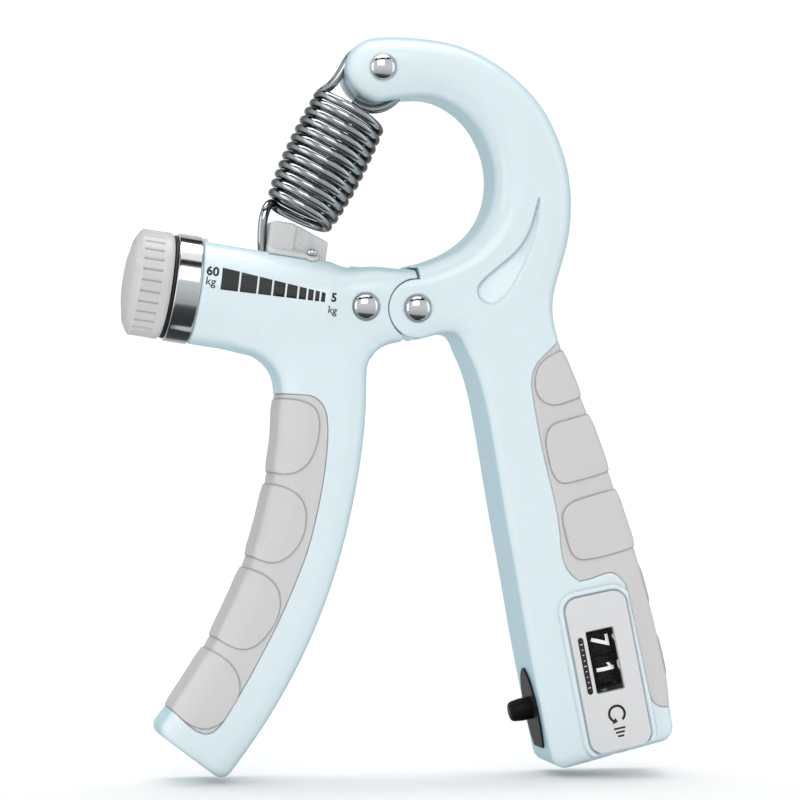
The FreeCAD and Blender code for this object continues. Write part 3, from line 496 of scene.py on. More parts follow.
def right_body(x, y, z):
    ay = np.abs(y)
    raw = right_raw(x, y, z)
    u, v = counter_coords(x, z)
    # soft raised bezel round the counter plate
    plate = rounded_box(u - 2.3, v - 0.2, 17.3, 7.0, 3.0)
    bezel = overlap(np.abs(plate - 0.78) - 0.52, np.abs(y + 10.0) - 1.3, 0.42)
    d = smin(raw, np.maximum(bezel, right_end(x, z) + 1.2), 0.45)
    # leaf-shaped relief on both faces, deepest along its left edge
    leaf = LEAF_OUTLINE(x, z)
    to_left = LEAF_LEFT(x, z)
    across = to_left / np.maximum(to_left + LEAF_RIGHT(x, z), 1e-3)
    depth = (0.42 + 1.45 * (1 - np.clip(across, 0, 1)) ** 1.1
             * smooth_step(-leaf / 0.5 + 0.15))
    d = smax(d, -smax(leaf, (HALF - depth) - ay, 0.25), 0.22)
    # hinge joint line
    hinge_r = np.hypot(x, z)
    d = cut(d, [KNUCKLE_R - hinge_r, x - 0.6, np.minimum(x + 0.9, z - 8.95), z - 20.0,
                -30.0 - z], 0.45)
    # slots through the ear and the knuckle, and the pin recesses
    d = cut(d, [ay - 1.6, distance_to(x, z, SPRING_PIN) - (EAR_R + 2.6)], 0.4)
    d = cut(d, [ay - 1.7, hinge_r - (KNUCKLE_R + 0.4)], 0.2)
    for centre in (SPRING_PIN, HINGE_PIN):
        d = pin_recess(d, x, y, z, centre)
    d = grip_recess(d, raw, RIGHT_GRIP(x, z))
    # counter pocket, stepped button bore and stepped reset bore
    d = cut(d, [rounded_box(u + 0.65, v, 12.55, 6.3, 0.8), y - 5.1], 0.3)
    button_r = np.hypot(u - BUTTON_U, y)
    d = cut(d, [button_r - 2.62, v + 9.0], 0.3)
    d = cut(d, [button_r - 1.4, v + 4.0], 0.2)
    reset_r = np.hypot(v, y - WHEEL_Y)
    d = cut(d, [reset_r - 3.8, 14.0 - u], 0.35)
    return cut(d, [reset_r - 3.35, 11.0 - u], 0.2)


def right_pads(x, y, z):
    """Distance to the pad outlines: three on the faces and two on the outer side."""
    pads = RIGHT_PADS(x, z)
    u, v = counter_coords(x, z)
    for u0, u1 in ((-19.2, -9.8), (-3.6, 6.6)):
        side = rounded_box(u - (u0 + u1) / 2, np.abs(y), (u1 - u0) / 2, 8.6, 2.2)
        pads = np.minimum(pads, np.where(v > 4.5, side, 5.0))
    return pads


def right_grip(x, y, z):
    return grip_layer(right_raw(x, y, z), RIGHT_GRIP(x, z), right_pads(x, y, z))


# ------------------------------------------------------------------ moving handle
def left_raw(x, y, z):
    edge_r = 5.6 - 0.9 * smooth_step((-20.0 - z) / 50.0)
    leg = overlap(LEFT_OUTLINE(x, z), np.abs(y) - HALF, edge_r)
    leg = overlap(leg, (x + 60.0) * -0.601 + (z + 88.0) * -0.799, 2.6)
    s, h = barrel_coords(x, z)
    radius = BARREL_R - 2.6 * np.clip((20.0 - s) / 10.0, 0, 1)
    barrel = np.maximum.reduce([(np.hypot(h, y) - radius) * 0.97, 9.0 - s])
    return overlap(smin(leg, barrel, 3.0), s - 47.8, 0.7)


def left_body(x, y, z):
    ay = np.abs(y)
    raw = left_raw(x, y, z)
    # clearance round the knuckle, and the trimmed side that faces the fixed handle
    d = smax(raw, 6.5 - np.hypot(x, z), 0.4)
    d = smax(d, x - 0.2, 0.4)
    d = cut(d, [-2.75 - x, z + 5.0], 0.4)
    d = cut(d, [-3.2 - x, 8.85 - z], 0.4)
    # barrel bore, window along its top, and the narrow slot from the window to the outer end
    s, h = barrel_coords(x, z)
    d = cut(d, [np.hypot(h, y) - 8.6, 16.2 - s], 0.3)
    d = cut(d, [rounded_box(s - 30.75, y, 16.05, 4.95, 0.35), 5.6 - h], 0.3)
    d = cut(d, [ay - 1.35, s - 48.2, 45.5 - s, 5.6 - h], 0.15)
    # thin slot inside the hinge end
    d = cut(d, [ay - 1.55, np.abs(z) - 4.9, x + 5.0, -13.7 - x], 0.2)
    d = pin_recess(d, x, y, z, RIVET)
    return grip_recess(d, raw, LEFT_GRIP(x, z))


def left_pads(x, y, z):
    return LEFT_PADS(x, z)


def left_grip(x, y, z):
    return grip_layer(left_raw(x, y, z), LEFT_GRIP(x, z), left_pads(x, y, z))


net_piece("fixed_handle_shell", right_body, (-17.0, -12.6, -107.0), (62.0, 12.6, 61.0),
          SHELL_CELL, "fixed_handle", "handle_plastic", ["right_handle_body"])
net_piece("fixed_handle_grip", right_grip, (22.0, -12.6, -92.0), (62.0, 12.6, -3.0),
          GRIP_CELL, "fixed_handle", "grip_soft", ["right_grip"], crease=right_pads)
net_piece("moving_handle_shell", left_body, (-63.5, -12.8, -106.0), (3.0, 12.8, 20.0),
          SHELL_CELL, "moving_handle", "handle_plastic", ["left_handle_body"])
net_piece("moving_handle_grip", left_grip, (-62.0, -12.6, -96.0), (-16.0, 12.6, -14.0),
          GRIP_CELL, "moving_handle", "grip_soft", ["left_grip"], crease=left_pads)


# ------------------------------------------------------------------ turned parts
def fillet(points, segments=4):
    """Profile with rounded corners: each point is (r, t) or (r, t, corner radius)."""
    out = []
    for i, p in enumerate(points):
        corner = np.array(p[:2], float)
        if len(p) < 3:
            out.append(corner)
            continue
        before, after = np.array(points[i - 1][:2], float), np.array(points[i + 1][:2], float)
        len_in, len_out = np.linalg.norm(before - corner), np.linalg.norm(after - corner)
        u, w = (before - corner) / len_in, (after - corner) / len_out
        angle = math.acos(np.clip(np.dot(u, w), -1, 1))
        reach = min(p[2] / math.tan(angle / 2), 0.49 * len_in, 0.49 * len_out)
        start, end = corner + u * reach, corner + w * reach
        for j in range(segments + 1):
            t = j / segments
            out.append((1 - t) ** 2 * start + 2 * t * (1 - t) * corner + t * t * end)
    return np.array(out)


def lathe(name, profile, origin, axis, side, body, slot, nodes=(), *, n, tube=False,
          radial=None):
    """Body of revolution from (r, t) points, t along the axis.

    radial(r, t, angle) may move the skin; a tube joins the profile's last point to its first.
    """
    origin = np.array(origin, float)
    up = np.cross(axis, side)
    points, rings, faces = [], [], []
    for r, t in profile:
        if r < 1e-6 and not tube:
            rings.append([len(points)])
            points.append(origin + axis * t)
            continue
        rings.append(list(range(len(points), len(points) + n)))
        for k in range(n):
            a = 2 * math.pi * k / n
            radius = r if radial is None else radial(r, t, a)
            points.append(origin + axis * t + (side * math.cos(a) + up * math.sin(a)) * radius)
    pairs = list(zip(rings, rings[1:])) + ([(rings[-1], rings[0])] if tube else [])
    for A, B in pairs:
        for k in range(n):
            k2 = (k + 1) % n
            if len(A) == 1:
                faces.append((A[0], B[k], B[k2]))
            elif len(B) == 1:
                faces.append((A[k], B[0], A[k2]))
            else:
                faces.append((A[k], B[k], B[k2], A[k2]))
    face_piece(name, points, faces, body, slot, nodes)


def pin(name, centre, body, node):
    """Shank with a low domed head at the front and back, each in its recess."""
    radius, height, rim, dome = 2.75, 1.48, 0.38, math.radians(72)
    half = [(0.0, -(HALF + height))]
    for k in range(1, 13):
        a = k / 12 * dome
        rise = (math.cos(a) - math.cos(dome)) / (1 - math.cos(dome))
        half.append((radius * math.sin(a) / math.sin(math.radians(76)),
                     -(HALF + rim + (height - rim) * rise)))
    half += [(radius, -(HALF + 0.2)), (radius, -(HALF - 0.35)), (1.9, -(HALF - 0.4))]
    profile = half + [(r, -t) for r, t in half[::-1]]
    lathe(name, profile, (centre[0], 0, centre[1]), EY, EX, body, "steel", [node], n=64)


pin("spring_pin", SPRING_PIN, "fixed_handle", "spring_top_pin")
pin("hinge_pin", HINGE_PIN, "fixed_handle", "pivot_pin")
pin("barrel_pin", RIVET, "moving_handle", "barrel_rivet")

trim = fillet([(8.62, 47.82), (11.75, 47.82, 0.55), (11.75, 53.18, 0.55), (8.62, 53.18, 0.2),
               (8.62, 50.0)], 5)
lathe("barrel_trim_ring", trim, *BARREL_AXIS, "moving_handle", "chrome", ["barrel_ring"],
      n=128, tube=True)
seal = fillet([(8.7, 53.25), (11.2, 53.22, 0.2), (11.2, 53.78, 0.2), (8.7, 53.75)], 3)
lathe("barrel_seal", seal, *BARREL_AXIS, "moving_handle", "black_rubber", ["seal_ring"],
      n=96, tube=True)

# Knob: narrow grooves round its rim, and a cap over its outer end
GROOVES = 30
KNOB_R = 11.62


def knob_skin(r, t, a):
    if r < 10.9:
        return r
    turn = (a / (2 * math.pi) * GROOVES) % 1.0
    off_groove = min(turn, 1 - turn) * 2 * math.pi * 11.6 / GROOVES
    groove = math.exp(-(off_groove / 0.26) ** 4)
    ends = float(smooth_step((t - 56.1) / 0.4) * smooth_step((60.75 - t) / 0.4))
    band = 0.08 * float(smooth_step((t - 55.9) / 0.25) * smooth_step((60.95 - t) / 0.3))
    return r - (0.42 * groove * ends + band)


knob = np.vstack([
    fillet([(2.05, 54.1), (2.05, 53.95, 0.05), (11.1, 53.95, 0.4), (11.58, 54.7, 0.4),
            (KNOB_R, 55.4)], 4),
    [(KNOB_R, t) for t in np.arange(55.6, 60.71, 0.15)],
    fillet([(11.58, 60.75), (11.05, 61.15, 0.5), (9.5, 62.05, 1.2), (8.72, 62.3, 0.1),
            (8.66, 62.0, 0.1), (8.6, 60.9), (0.0, 60.9)], 5)])
lathe("tension_knob_cover", knob, *BARREL_AXIS, "knob", "knob_plastic", ["tension_knob"],
      n=GROOVES * 16, radial=knob_skin)
cap = fillet([(0.0, 61.0), (8.55, 61.0, 0.1), (8.55, 62.15, 0.15), (8.3, 62.36, 0.2),
              (5.6, 62.95, 1.2), (2.6, 63.2, 0.8), (0.0, 63.25)], 5)
lathe("tension_knob_cap", cap, *BARREL_AXIS, "knob", "knob_plastic", ["knob_cap"], n=96)


# ------------------------------------------------------------------ carriage on the barrel
# The main spring runs from the spring pin to an eye in the carriage
SPRING_START = np.array((SPRING_PIN[0], 0.0, SPRING_PIN[1]))
SPRING_END = barrel_point(31.85, 7.0)


def direction(start, end):
    """Unit vector from start to end, its perpendicular in the x-z plane, and the length."""
    span = float(np.linalg.norm(end - start))
    along = (end - start) / span
    return along, np.array((-along[2], 0.0, along[0])), span


SPRING_ALONG, SPRING_ACROSS, SPRING_SPAN = direction(SPRING_START, SPRING_END)
SCREW_S = 24.3


def carriage(x, y, z):
    ay = np.abs(y)
    s, h = barrel_coords(x, z)
    along, _ = plane_coords(x, z, SPRING_START, SPRING_ALONG, SPRING_ACROSS)
    radius = np.hypot(h, y)
    core = np.maximum.reduce([radius - 8.45, 22.1 - s, s - 33.75, -6.2 - h])
    tall = overlap(rounded_box(s - 31.05, h - 11.7, 2.8, 5.75, 0.9), ay - 4.75, 0.6)
    block = overlap(rounded_box(s - 27.3, h - 9.0, 6.45, 8.4, 0.7), ay - 4.15, 0.5)
    block = overlap(block, 38.3 - along, 0.5)
    base = overlap(rounded_box(s - 27.3, h - 8.6, 6.45, 2.3, 0.3), ay - 4.7, 0.3)
    # thin curved flange over the barrel, and the round lug under the screw
    shell = np.abs(radius - 12.1) - 0.38
    flange = overlap(shell, np.maximum.reduce([ay - 6.1, np.abs(s - 29.75) - 4.1, -h]), 0.25)
    lug = overlap(shell, np.maximum(np.hypot(s - SCREW_S, y + 5.0) - 1.7, -h), 0.25)
    d = np.minimum(core, base)
    d = smin(d, smin(tall, block, 0.25), 0.3)
    d = smin(d, np.minimum(flange, smin(lug, flange, 0.3)), 0.35)
    # bore, spring slot, spring eye and screw hole
    d = cut(d, [radius - 3.15], 0.2)
    d = cut(d, [ay - 1.5, 27.7 - s, 3.1 - h], 0.35)
    d = cut(d, [np.hypot(x - SPRING_END[0], z - SPRING_END[2]) - 1.2, ay - 30.0], 0.1)
    return cut(d, [np.hypot(s - SCREW_S, y + 5.3) - 1.35, 11.6 - h], 0.15)


near, far, bottom, top = 20.0, 34.6, -9.0, 18.2            # the carriage's extent in s and h
net_piece("tension_carriage", carriage,
          (barrel_point(far, bottom)[0] - 1.0, -7.2, barrel_point(near, bottom)[2] - 0.5),
          (barrel_point(near, top)[0] + 1.0, 7.2, barrel_point(far, top)[2] + 1.0),
          cell_size(0.24), "carriage", "carriage_plastic", ["carriage"])

# Small screw with a plain domed head
head_r, head_h = 1.15, 1.35
screw = [(0.0, head_h)]
screw += [(head_r * math.sin(a), head_h * (0.45 + 0.55 * math.cos(a)))
          for a in np.radians(np.arange(12, 85, 12))]
screw += [(head_r, head_h * 0.35), (head_r * 0.98, 0.0), (0.6, 0.0), (0.6, -0.2), (0.0, -0.25)]
lathe("carriage_screw", screw, barrel_point(SCREW_S, 11.2, -5.3), BARREL_UP, EY,
      "carriage", "steel", ["pointer_screw"], n=48)


# ------------------------------------------------------------------ counter
def counter_box(u0, u1, v0, v1):
    """Lowest and highest corner, in x and z, of a rectangle given in u and v."""
    P = np.array([counter_point(u, v) for u in (u0, u1) for v in (v0, v1)])
    return P.min(0), P.max(0)


def face_plate(x, y, z):
    u, v = counter_coords(x, z)
    d = overlap(rounded_box(u - 2.3, v - 0.2, 17.2, 6.9, 2.95), np.abs(y + 11.02) - 0.5, 0.22)
    window = rounded_box(u + 0.35, v, 7.0, 3.25, 0.45)
    return smax(d, -(window + 0.35 * np.clip((y + 11.4), -0.3, 0.6)), 0.12)


def reset_button(x, y, z):
    """Round button with a short stem and a straight slot across its lower end."""
    u, v = counter_coords(x, z)
    r = np.hypot(v, y - WHEEL_Y)
    button = overlap(r - 3.65, np.abs(u - 17.9) - 2.7, 0.35)
    d = np.minimum(button, np.maximum(r - 1.4, np.abs(u - 13.0) - 2.4))
    return cut(d, [np.abs(y - WHEEL_Y) - 0.5, 19.6 - u], 0.25)


def ratchet_skin(r, t, a):
    """Ten saw teeth at the lower end of the units drum."""
    if t < 4.75 or r < 3.0:
        return r
    return 3.2 + 1.0 * ((a / (2 * math.pi) * 10) % 1.0)


low, high = counter_box(-15.4, 20.0, -7.2, 7.6)
net_piece("counter_face_plate", face_plate, (low[0], -12.2, low[2]), (high[0], -10.0, high[2]),
          cell_size(0.22), "fixed_handle", "label_plastic", ["counter_plate"])

WHEEL_AXIS = (counter_point(0, 0, WHEEL_Y), HANDLE_DOWN, HANDLE_OUT)
DRUM_BORE, DRUM_R = 1.05, 4.45
tens = fillet([(DRUM_BORE, -7.4), (DRUM_R, -7.4, 0.25), (DRUM_R, -1.6, 0.25),
               (DRUM_BORE, -1.6)], 3)
lathe("tens_drum", tens, *WHEEL_AXIS, "tens", "wheel_black", ["tens_wheel"], n=96, tube=True)
units = fillet([(DRUM_BORE, -1.2), (DRUM_R, -1.2, 0.25), (DRUM_R, 4.6, 0.25), (4.2, 4.7),
                (4.2, 4.8), (4.2, 5.85), (DRUM_BORE, 5.85)], 3)
lathe("units_drum", units, *WHEEL_AXIS, "units", "wheel_black", ["units_wheel"], n=120,
      tube=True, radial=ratchet_skin)
button = fillet([(0.0, -20.9), (2.15, -20.9, 1.3), (2.5, -18.2, 1.5), (2.5, -15.0),
                 (2.5, -13.4, 0.2), (1.2, -13.4), (1.2, -8.4, 0.2), (0.0, -8.3)], 6)
lathe("counter_button", button, counter_point(BUTTON_U, 0), HANDLE_OUT, EY, "plunger",
      "black_plastic", ["plunger"], n=64)

low, high = counter_box(10.0, 21.2, -4.4, 4.4)
net_piece("reset_button", reset_button, (low[0], WHEEL_Y - 4.2, low[2]),
          (high[0], WHEEL_Y + 4.2, high[2]), cell_size(0.25), "reset_knob",
          "knob_plastic", ["reset_knob"])


# ------------------------------------------------------------------ printed marks
def print_solid(name, bm, mapper, body, slot, nodes=(), *, lift, sink, cell):
    """Thin raised print from flat faces in (a, b).

    mapper(a, b) gives the surface point and its outward normal; cell is the cutting pitch.
    """
    bmesh.ops.remove_doubles(bm, verts=bm.verts, dist=1e-4)
    flat = np.array([v.co for v in bm.verts])
    low, high = flat.min(0), flat.max(0)
    for axis in (0, 1):
        normal = Vector((0, 0, 0))
        normal[axis] = 1
        at = math.floor(low[axis] / cell) * cell + cell
        while at < high[axis]:
            bmesh.ops.bisect_plane(bm, geom=bm.verts[:] + bm.edges[:] + bm.faces[:],
                                   plane_co=normal * at, plane_no=normal)
            at += cell
    bmesh.ops.triangulate(bm, faces=bm.faces)
    bm.verts.index_update()
    n = len(bm.verts)
    placed = [mapper(v.co.x, v.co.y) for v in bm.verts]
    points = [p + out * lift for p, out in placed] + [p - out * sink for p, out in placed]
    upper = [[v.index for v in face.verts] for face in bm.faces]
    lower = [[i + n for i in face[::-1]] for face in upper]
    sides = []
    for edge in bm.edges:
        if len(edge.link_faces) == 1:
            i, j = edge.verts[0].index, edge.verts[1].index
            sides.append([i, j, j + n, i + n])
    bm.free()
    face_piece(name, points, upper + lower + sides, body, slot, nodes, weighted=False)


def add_poly(bm, points):
    bm.faces.new([bm.verts.new((p[0], p[1], 0)) for p in points])


def add_text(bm, text, size, bold, place):
    """Characters as flat faces; place(x, y) maps the centred text's plane to (a, b)."""
    curve = bpy.data.curves.new("t", "FONT")
    curve.body = text
    curve.size = size
    curve.align_x, curve.align_y = "CENTER", "CENTER"
    curve.offset = bold * size
    curve.resolution_u = 3
    obj = add_object("t", curve)
    bpy.context.view_layer.update()
    evaluated = obj.evaluated_get(bpy.context.evaluated_depsgraph_get())
    mesh = bpy.data.meshes.new_from_object(evaluated)
    verts = [bm.verts.new((*place(v.co.x, v.co.y), 0)) for v in mesh.vertices]
    for polygon in mesh.polygons:
        try:                                                # the font may repeat a face
            bm.faces.new([verts[i] for i in polygon.vertices])
        except ValueError:
            pass
    bpy.data.objects.remove(obj)
    bpy.data.curves.remove(curve)
    bpy.data.meshes.remove(mesh)


def on_left(s, h):
    """Point and normal on the front of the moving handle at barrel coordinates (s, h)."""
    def distance(q):
        return float(left_raw(*q[:, None])[0])

    outside, inside = -13.5, -4.0
    p = barrel_point(s, h)
    for _ in range(26):
        p[1] = 0.5 * (outside + inside)
        if distance(p) > 0:
            outside = p[1]
        else:
            inside = p[1]
    p[1] = 0.5 * (outside + inside)
    normal = np.array([distance(p + e) - distance(p - e) for e in np.eye(3) * 0.15])
    return p, normal / np.linalg.norm(normal)


def on_plate(y):
    """Mapper from (u, v) to a plane at y that faces the front."""
    return lambda u, v: (counter_point(u, v, y), -EY)


def tension_scale():
    """Bars that shorten and narrow towards the hinge, with a weight at each end."""
    bm = bmesh.new()

    def bar_end(s):
        lower, upper = 1.15 - (s - 21.2) * 0.034, 3.15 + (s - 21.2) * 0.090
        return [(s, lower), (s, upper)]

    start = 43.7
    for width in (3.75, 3.55, 2.8, 2.5, 2.25, 1.55, 1.15, 0.9, 0.85):
        first, last = bar_end(start), bar_end(start - width)
        add_poly(bm, [first[0], last[0], last[1], first[1]])
        start = start - width - 0.42
    for text, size, bold, s, h in (("60", 2.75, 0.03, 45.75, 3.95), ("kg", 2.5, 0.005, 45.95, 1.75),
                                   ("5", 2.6, 0.03, 19.1, 2.35), ("kg", 2.3, 0.005, 19.1, -0.35)):
        add_text(bm, text, size, bold, lambda x, y: (s - x, h + y))
    print_solid("tension_scale", bm, on_left, "moving_handle", "print_black", ["scale_marks"],
                lift=0.05, sink=0.10, cell=0.8)


BAR_V = -4.65


def plate_marks():
    """Round-ended bar beside the window, a turn arrow and three shrinking dashes."""
    bm = bmesh.new()
    add_poly(bm, [on_circle((u, BAR_V), 0.62, math.radians(first + k))
                  for u, first in ((5.7, -90), (-5.7, 90)) for k in range(0, 181, 20)])
    centre, radius, half_line = (11.6, 0.25), 1.75, 0.27
    arc = [math.radians(a) for a in range(35, 326, 10)]
    outer = [on_circle(centre, radius + half_line, a) for a in arc]
    inner = [on_circle(centre, radius - half_line, a) for a in arc]
    for i in range(len(arc) - 1):
        add_poly(bm, [outer[i], outer[i + 1], inner[i + 1], inner[i]])
    add_poly(bm, [on_circle(centre, radius + 0.8, arc[-1]),
                  on_circle(centre, radius, arc[-1] + 0.55),
                  on_circle(centre, radius - 0.8, arc[-1])])
    for k, width in enumerate((2.6, 2.0, 1.4)):
        u0, u1 = 14.6 + k * 0.85, 15.0 + k * 0.85
        v0, v1 = centre[1] - width / 2, centre[1] + width / 2
        add_poly(bm, [(u0, v0), (u1, v0), (u1, v1), (u0, v1)])
    print_solid("plate_marks", bm, on_plate(-11.52), "fixed_handle", "print_black",
                lift=0.03, sink=0.05, cell=3.0)


def plate_ticks():
    """Pale ticks on the bar, every fourth one longer."""
    bm = bmesh.new()
    for k in range(9):
        u = -4.9 + k * 1.2
        width = 0.62 if k % 4 == 0 else 0.34
        v0, v1 = BAR_V - width / 2, BAR_V + width / 2
        add_poly(bm, [(u, v0), (u + 0.2, v0), (u + 0.2, v1), (u, v1)])
    print_solid("plate_ticks", bm, on_plate(-11.56), "fixed_handle", "white_plastic",
                lift=0.02, sink=0.04, cell=3.0)


def digits(name, middle, shown, body):
    """Five figures round a wheel; the one in 'shown' faces the window at rest."""
    bm = bmesh.new()
    radius = 4.46
    for k in range(5):
        around = k * 72.0 * math.pi / 180 * radius
        figure = (shown + 2 * k) % 10
        if figure == 1:                                     # flag of the one
            add_poly(bm, [(middle - 0.1, around + 2.0), (middle - 1.25, around + 1.25),
                          (middle - 1.25, around + 0.55), (middle - 0.1, around + 1.25)])
        add_text(bm, str(figure), 5.6, 0.028, lambda x, y: (middle + 0.95 * x, around + y))

    def wrap(a, b):
        t = b / radius
        normal = HANDLE_OUT * math.sin(t) - EY * math.cos(t)
        return counter_point(a, 0, WHEEL_Y) + normal * radius, normal

    print_solid(name, bm, wrap, body, "white_plastic", lift=0.04, sink=0.08, cell=0.8)


tension_scale()
plate_marks()
plate_ticks()
digits("tens_digits", -4.5, 7, "tens")
digits("units_digits", 1.7, 1, "units")


# ------------------------------------------------------------------ node helpers
MIX_RESULT = 2


def add_node(tree, kind, inputs=None, **settings):
    """New node; each input is given a value, or a link where it is a socket."""
    node = tree.nodes.new(kind)
    for key, value in settings.items():
        setattr(node, key, value)
    for key, value in (inputs or {}).items():
        if isinstance(value, bpy.types.NodeSocket):
            tree.links.new(value, node.inputs[key])
        else:
            node.inputs[key].default_value = value
    return node


def mix_color(tree, factor, a, b, blend="MIX"):
    return add_node(tree, "ShaderNodeMix", {0: factor, 6: a, 7: b}, data_type="RGBA",
                    blend_type=blend).outputs[MIX_RESULT]


def remap(tree, value, source=(0.0, 1.0), target=(0.0, 1.0), kind="LINEAR"):
    """Map the source range to the target range, clamped."""
    return add_node(tree, "ShaderNodeMapRange", {
        "Value": value, "From Min": source[0], "From Max": source[1],
        "To Min": target[0], "To Max": target[1]}, interpolation_type=kind).outputs["Result"]


# ------------------------------------------------------------------ springs
def spring_path():
    """Points (along, across, y) of the main spring.

    Free end under the ear, round the pin, down into a coil that bellies out a little, then the
    leg and the lower hook.
    """
    path = []
    for degrees in range(-14, 262, 12):
        a = math.radians(degrees)
        path.append((1.4 + 6.7 * math.cos(a), 0.3 + 6.7 * math.sin(a), 0.0))
    path += [(3.2, -6.45, 0.02), (5.6, -6.7, 0.10), (7.7, -7.3, 0.42), (9.0, -7.95, 0.82)]
    turns, per_turn = 11.96, 14
    total = int(per_turn * turns)
    for i in range(total + 1):
        f = i / total
        a = math.radians(172.0) + 2 * math.pi * turns * f
        r = float(np.interp(f, (0, 0.15, 0.35, 0.6, 0.85, 1.0),
                            (7.6, 7.95, 8.15, 8.05, 7.5, 6.7)))
        path.append((10.1 + 25.9 * f, -0.85 + 0.55 * f + r * math.cos(a), r * math.sin(a)))
    path += [(36.9, -6.95, 1.35), (38.2, -7.0, 0.45), (39.9, -6.7, 0.05), (42.4, -5.7, 0.0),
             (45.2, -4.3, 0.0), (47.2, -3.1, 0.0)]
    for degrees in range(180, -75, -30):
        a = math.radians(degrees)
        path.append((SPRING_SPAN - 0.02 + 2.37 * math.sin(a), 2.37 * math.cos(a), 0.0))
    return path


def wire_group(name, anchor, ramp, radius, base, along, across, span):
    """Node group: round wire along the mesh's polyline, with its end kept on the anchor.

    The line is drawn out over the ramp, so the coils open up and the wire keeps its thickness.
    Also returns the Set Material node.
    """
    tree = bpy.data.node_groups.new(name, "GeometryNodeTree")
    for way in ("INPUT", "OUTPUT"):
        tree.interface.new_socket("Geometry", in_out=way, socket_type="NodeSocketGeometry")

    def node(kind, inputs=None, **settings):
        return add_node(tree, kind, inputs, **settings).outputs[0]

    def vector(operation, a, b=None, scale=None):
        given = {0: a, 1: b, "Scale": scale}
        made = add_node(tree, "ShaderNodeVectorMath",
                        {key: value for key, value in given.items() if value is not None},
                        operation=operation)
        return made.outputs["Value" if operation in ("DOT_PRODUCT", "LENGTH") else "Vector"]

    def number(operation, a, b):
        return node("ShaderNodeMath", {0: a, 1: b}, operation=operation)

    def separate(value):
        return add_node(tree, "ShaderNodeSeparateXYZ", {0: value}).outputs

    group_in = node("NodeGroupInput")
    info = add_node(tree, "GeometryNodeObjectInfo", {"Object": anchor},
                    transform_space="RELATIVE")
    offset = vector("SUBTRACT", node("GeometryNodeInputPosition"), base)
    rest_along = vector("DOT_PRODUCT", offset, along)
    rest_across = vector("DOT_PRODUCT", offset, across)
    reach = vector("SUBTRACT", info.outputs["Location"], base)
    stretch = number("SUBTRACT", vector("LENGTH", reach), span)
    new_along = vector("NORMALIZE", reach)
    parts = separate(new_along)
    new_across = node("ShaderNodeCombineXYZ",
                      {0: number("MULTIPLY", parts[2], -1.0), 2: parts[0]})
    share = remap(tree, rest_along, source=ramp)
    distance = number("ADD", rest_along, number("MULTIPLY", stretch, share))
    sideways = node("ShaderNodeCombineXYZ", {1: separate(offset)[1]})
    in_plane = vector("ADD", vector("SCALE", new_along, scale=distance),
                      vector("SCALE", new_across, scale=rest_across))
    position = vector("ADD", in_plane, vector("ADD", sideways, base))
    moved = node("GeometryNodeSetPosition", {"Geometry": group_in, "Position": position})
    line = node("GeometryNodeMeshToCurve", {0: moved})
    circle = node("GeometryNodeCurvePrimitiveCircle", {"Resolution": 14, "Radius": radius})
    wire = node("GeometryNodeCurveToMesh",
                {"Curve": line, "Profile Curve": circle, "Fill Caps": True})
    smooth = node("GeometryNodeSetShadeSmooth", {0: wire})
    set_material = add_node(tree, "GeometryNodeSetMaterial", {0: smooth})
    add_node(tree, "NodeGroupOutput", {0: set_material.outputs[0]})
    return tree, set_material


def wire_piece(name, points, start, end, end_body, body, node, ramp, radius):
    """Spring wire that rides one body and is drawn to an anchor on another."""
    P = to_world(points)
    mesh = bpy.data.meshes.new(name)
    mesh.from_pydata([tuple(p) for p in P], [(i, i + 1) for i in range(len(P) - 1)], [])
    obj = add_object(name, mesh)
    anchor = add_object(name + "_anchor", None)
    anchor.empty_display_size = 0.004
    anchor.location = Vector(to_world(end))
    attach(anchor, end_body)
    along, across, span = direction(start, end)
    group, set_material = wire_group(
        name, anchor, ramp=(ramp[0] / 1000, ramp[1] / 1000), radius=radius / 1000,
        base=tuple(to_world(start)), along=tuple(along), across=tuple(across),
        span=span / 1000)
    obj.modifiers.new("wire", "NODES").node_group = group
    register(obj, body, "spring_chrome", [node])
    return set_material


main_points = [SPRING_START + SPRING_ALONG * along + SPRING_ACROSS * across + EY * y
               for along, across, y in spline(spring_path(), per=16)]
# three-turn spring behind the counter button
BUTTON_SPRING_V, BUTTON_SPRING_LENGTH, BUTTON_SPRING_R = -9.45, 3.6, 1.85
button_points = []
for i in range(73):
    a = 2 * math.pi * i / 24.0
    button_points.append(counter_point(BUTTON_U + BUTTON_SPRING_R * math.cos(a),
                                       BUTTON_SPRING_V - BUTTON_SPRING_LENGTH * i / 72.0,
                                       BUTTON_SPRING_R * math.sin(a)))
WIRE_MATERIAL_NODES = [
    wire_piece("main_tension_spring", main_points, SPRING_START, SPRING_END, "carriage",
               "spring", "tension_spring", ramp=(9.5, 36.5), radius=1.0),
    wire_piece("button_spring", button_points, counter_point(BUTTON_U, BUTTON_SPRING_V),
               counter_point(BUTTON_U, BUTTON_SPRING_V - BUTTON_SPRING_LENGTH), "plunger",
               "fixed_handle", "plunger_spring", ramp=(0.0, BUTTON_SPRING_LENGTH),
               radius=0.22)]


# ------------------------------------------------------------------ materials
def node_material(name):
    made = bpy.data.materials.new(name)
    made.use_nodes = True
    return made, made.node_tree, made.node_tree.nodes["Principled BSDF"]


